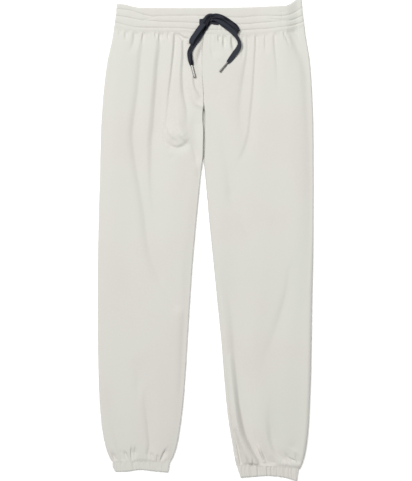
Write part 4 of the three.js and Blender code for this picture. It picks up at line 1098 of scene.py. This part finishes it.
# Each cuff: its edge as (x, y), its two ends as (y, x), pitch and height of its puckers, and the deep ones
# as place, width and depth
CUFFS = [
    ("left", left_hem, [(-190, -488), (-163, -487), (-138, -483.6), (-106, -486.8), (-79, -489.3)],
     ([(-466, -195), (-477, -194.5), (-489, -188.5)], [(-466, -74.6), (-477, -76), (-489, -78.3)]), 13, 0.95,
     [(-183, 5, 1), (-176, 4, 0.8), (-151, 2.2, 1.2), (-133, 2, 0.7), (-104, 4, 0.8), (-90, 3, 0.5)]),
    ("right", right_hem, [(74, -500.4), (104, -498), (132, -496.4), (167, -500.4), (191, -508)],
     ([(-474, 65.3), (-484, 68.5), (-508, 76.5)], [(-474, 196), (-484, 195.3), (-508, 191.5)]), 9, 1.35,
     [(97, 2.4, 1.1), (110, 2.2, 1.3), (117, 2, 1), (130, 2.6, 1.4), (139, 2.2, 1), (151, 2.6, 1.1),
      (165, 3, 0.7)]),
]
for side, hem, edge_table, ends, pitch, drawn, puckers in CUFFS:
    edge = through(edge_table)
    front_face = cuff_face(hem, edge, puckers, pitch, drawn)
    for layer, columns, rows, face in (("back", 30, 6, None), ("front", 150, 28, front_face)):
        piece = band(
            f"cuff_casing_{side}_{layer}", lambda x: hem(x) - SEWN, edge, ends, CUFF,
            columns, np.linspace(0, 1, rows), face,
        )
        finished(piece, casing_material, "elastic_casing", f"cuff_{side}_{layer}")
        casing_cut(hem, edge, ends)


# Satin-stitched rims of the two slots that the drawstring comes out of
SLOTS = [(-12.2, 455.0), (26.8, 453.8)]
SLOT_HALF = (1.5, 5.9)
RIM = 1.5
RIM_THICK = 0.9


def round_section(broad, thick):
    turn = np.linspace(0, 2 * math.pi, 10, endpoint=False)
    return points(np.cos(turn) * broad / 2, np.sin(turn) * thick / 2)


def slot_rim(name, cx, cy):
    turn = np.linspace(0, 2 * math.pi, 49)
    x, y = cx + SLOT_HALF[0] * np.cos(turn), cy + SLOT_HALF[1] * np.sin(turn)
    places = points(x, y, BAND + GAP + waistband_face(x, y) + 0.15)
    outward = unit(points(np.cos(turn), np.sin(turn) * SLOT_HALF[0] / SLOT_HALF[1], 0 * turn))
    stitched = RIM * (1 + 0.09 * np.cos(turn * 24))
    stations = [(p, o, OVERHEAD, w, RIM_THICK) for p, o, w in zip(places, outward, stitched)]
    return swept(name, stations, round_section)


rims = joined("cord_slot_rims", [slot_rim(f"rim_{k}", *at) for k, at in enumerate(SLOTS)])
finished(rims, thread_material, "elastic_casing")

# Rows of stitching on the waistband: short threads lying in each groove
STITCH_LONG = 2.5
STITCH_PITCH = 3.3
THREAD = 0.5


def stitches():
    vertices, faces = [], []
    ring = [(math.cos(a), math.sin(a)) for a in np.linspace(0, 2 * math.pi, 6, endpoint=False)]
    bulge = [(-0.5, 0.35), (-0.3, 1), (0.3, 1), (0.5, 0.35)]
    for row in stitch_rows:
        for x in np.arange(-179, 196, STITCH_PITCH):
            y = float(row(x))
            z = BAND + GAP + float(waistband_face(np.array(x), np.array(y))) + THREAD * 0.25
            faces += tube_faces(len(vertices), len(bulge), len(ring))
            for share, size in bulge:
                half = THREAD / 2 * size
                vertices += [(x + share * STITCH_LONG, y + c * half, z + s * half) for c, s in ring]
    return mesh_object("waistband_stitching", vertices, faces)


finished(stitches(), thread_material, "elastic_casing")


# Floor and light
FLOOR_HALF = 20000
FLOOR_DOWN = 0.4


def floor():
    corners = [(x * FLOOR_HALF, y * FLOOR_HALF, -FLOOR_DOWN) for x, y in ((-1, -1), (1, -1), (1, 1), (-1, 1))]
    obj = mesh_object("floor", corners, [(0, 1, 2, 3)])
    look = Look("pale_floor", (0.93, 0.93, 0.93), 1, 0)
    look.feed(look.shader, {"Emission Color": (1, 1, 1, 1), "Emission Strength": 0.22})
    obj.data.materials.append(look.material)


def area_light(name, location, size, power):
    data = bpy.data.lights.new(name, "AREA")
    data.shape = "SQUARE"
    data.size = size
    data.energy = power
    obj = placed(name, data)
    obj.location = location
    obj.rotation_euler = (-Vector(location)).to_track_quat("-Z", "Y").to_euler()


floor()
area_light("key", (-1.9, 1.9, 5.0), 2.0, 228)
area_light("fill", (0.9, 0.7, 2.6), 1.2, 17)
scene.world = bpy.data.worlds.new("studio")
scene.world.use_nodes = True
background = scene.world.node_tree.nodes["Background"]
background.inputs["Color"].default_value = (1, 1, 1, 1)
background.inputs["Strength"].default_value = 0.2
scene.view_settings.view_transform = "Standard"
scene.view_settings.look = "None"
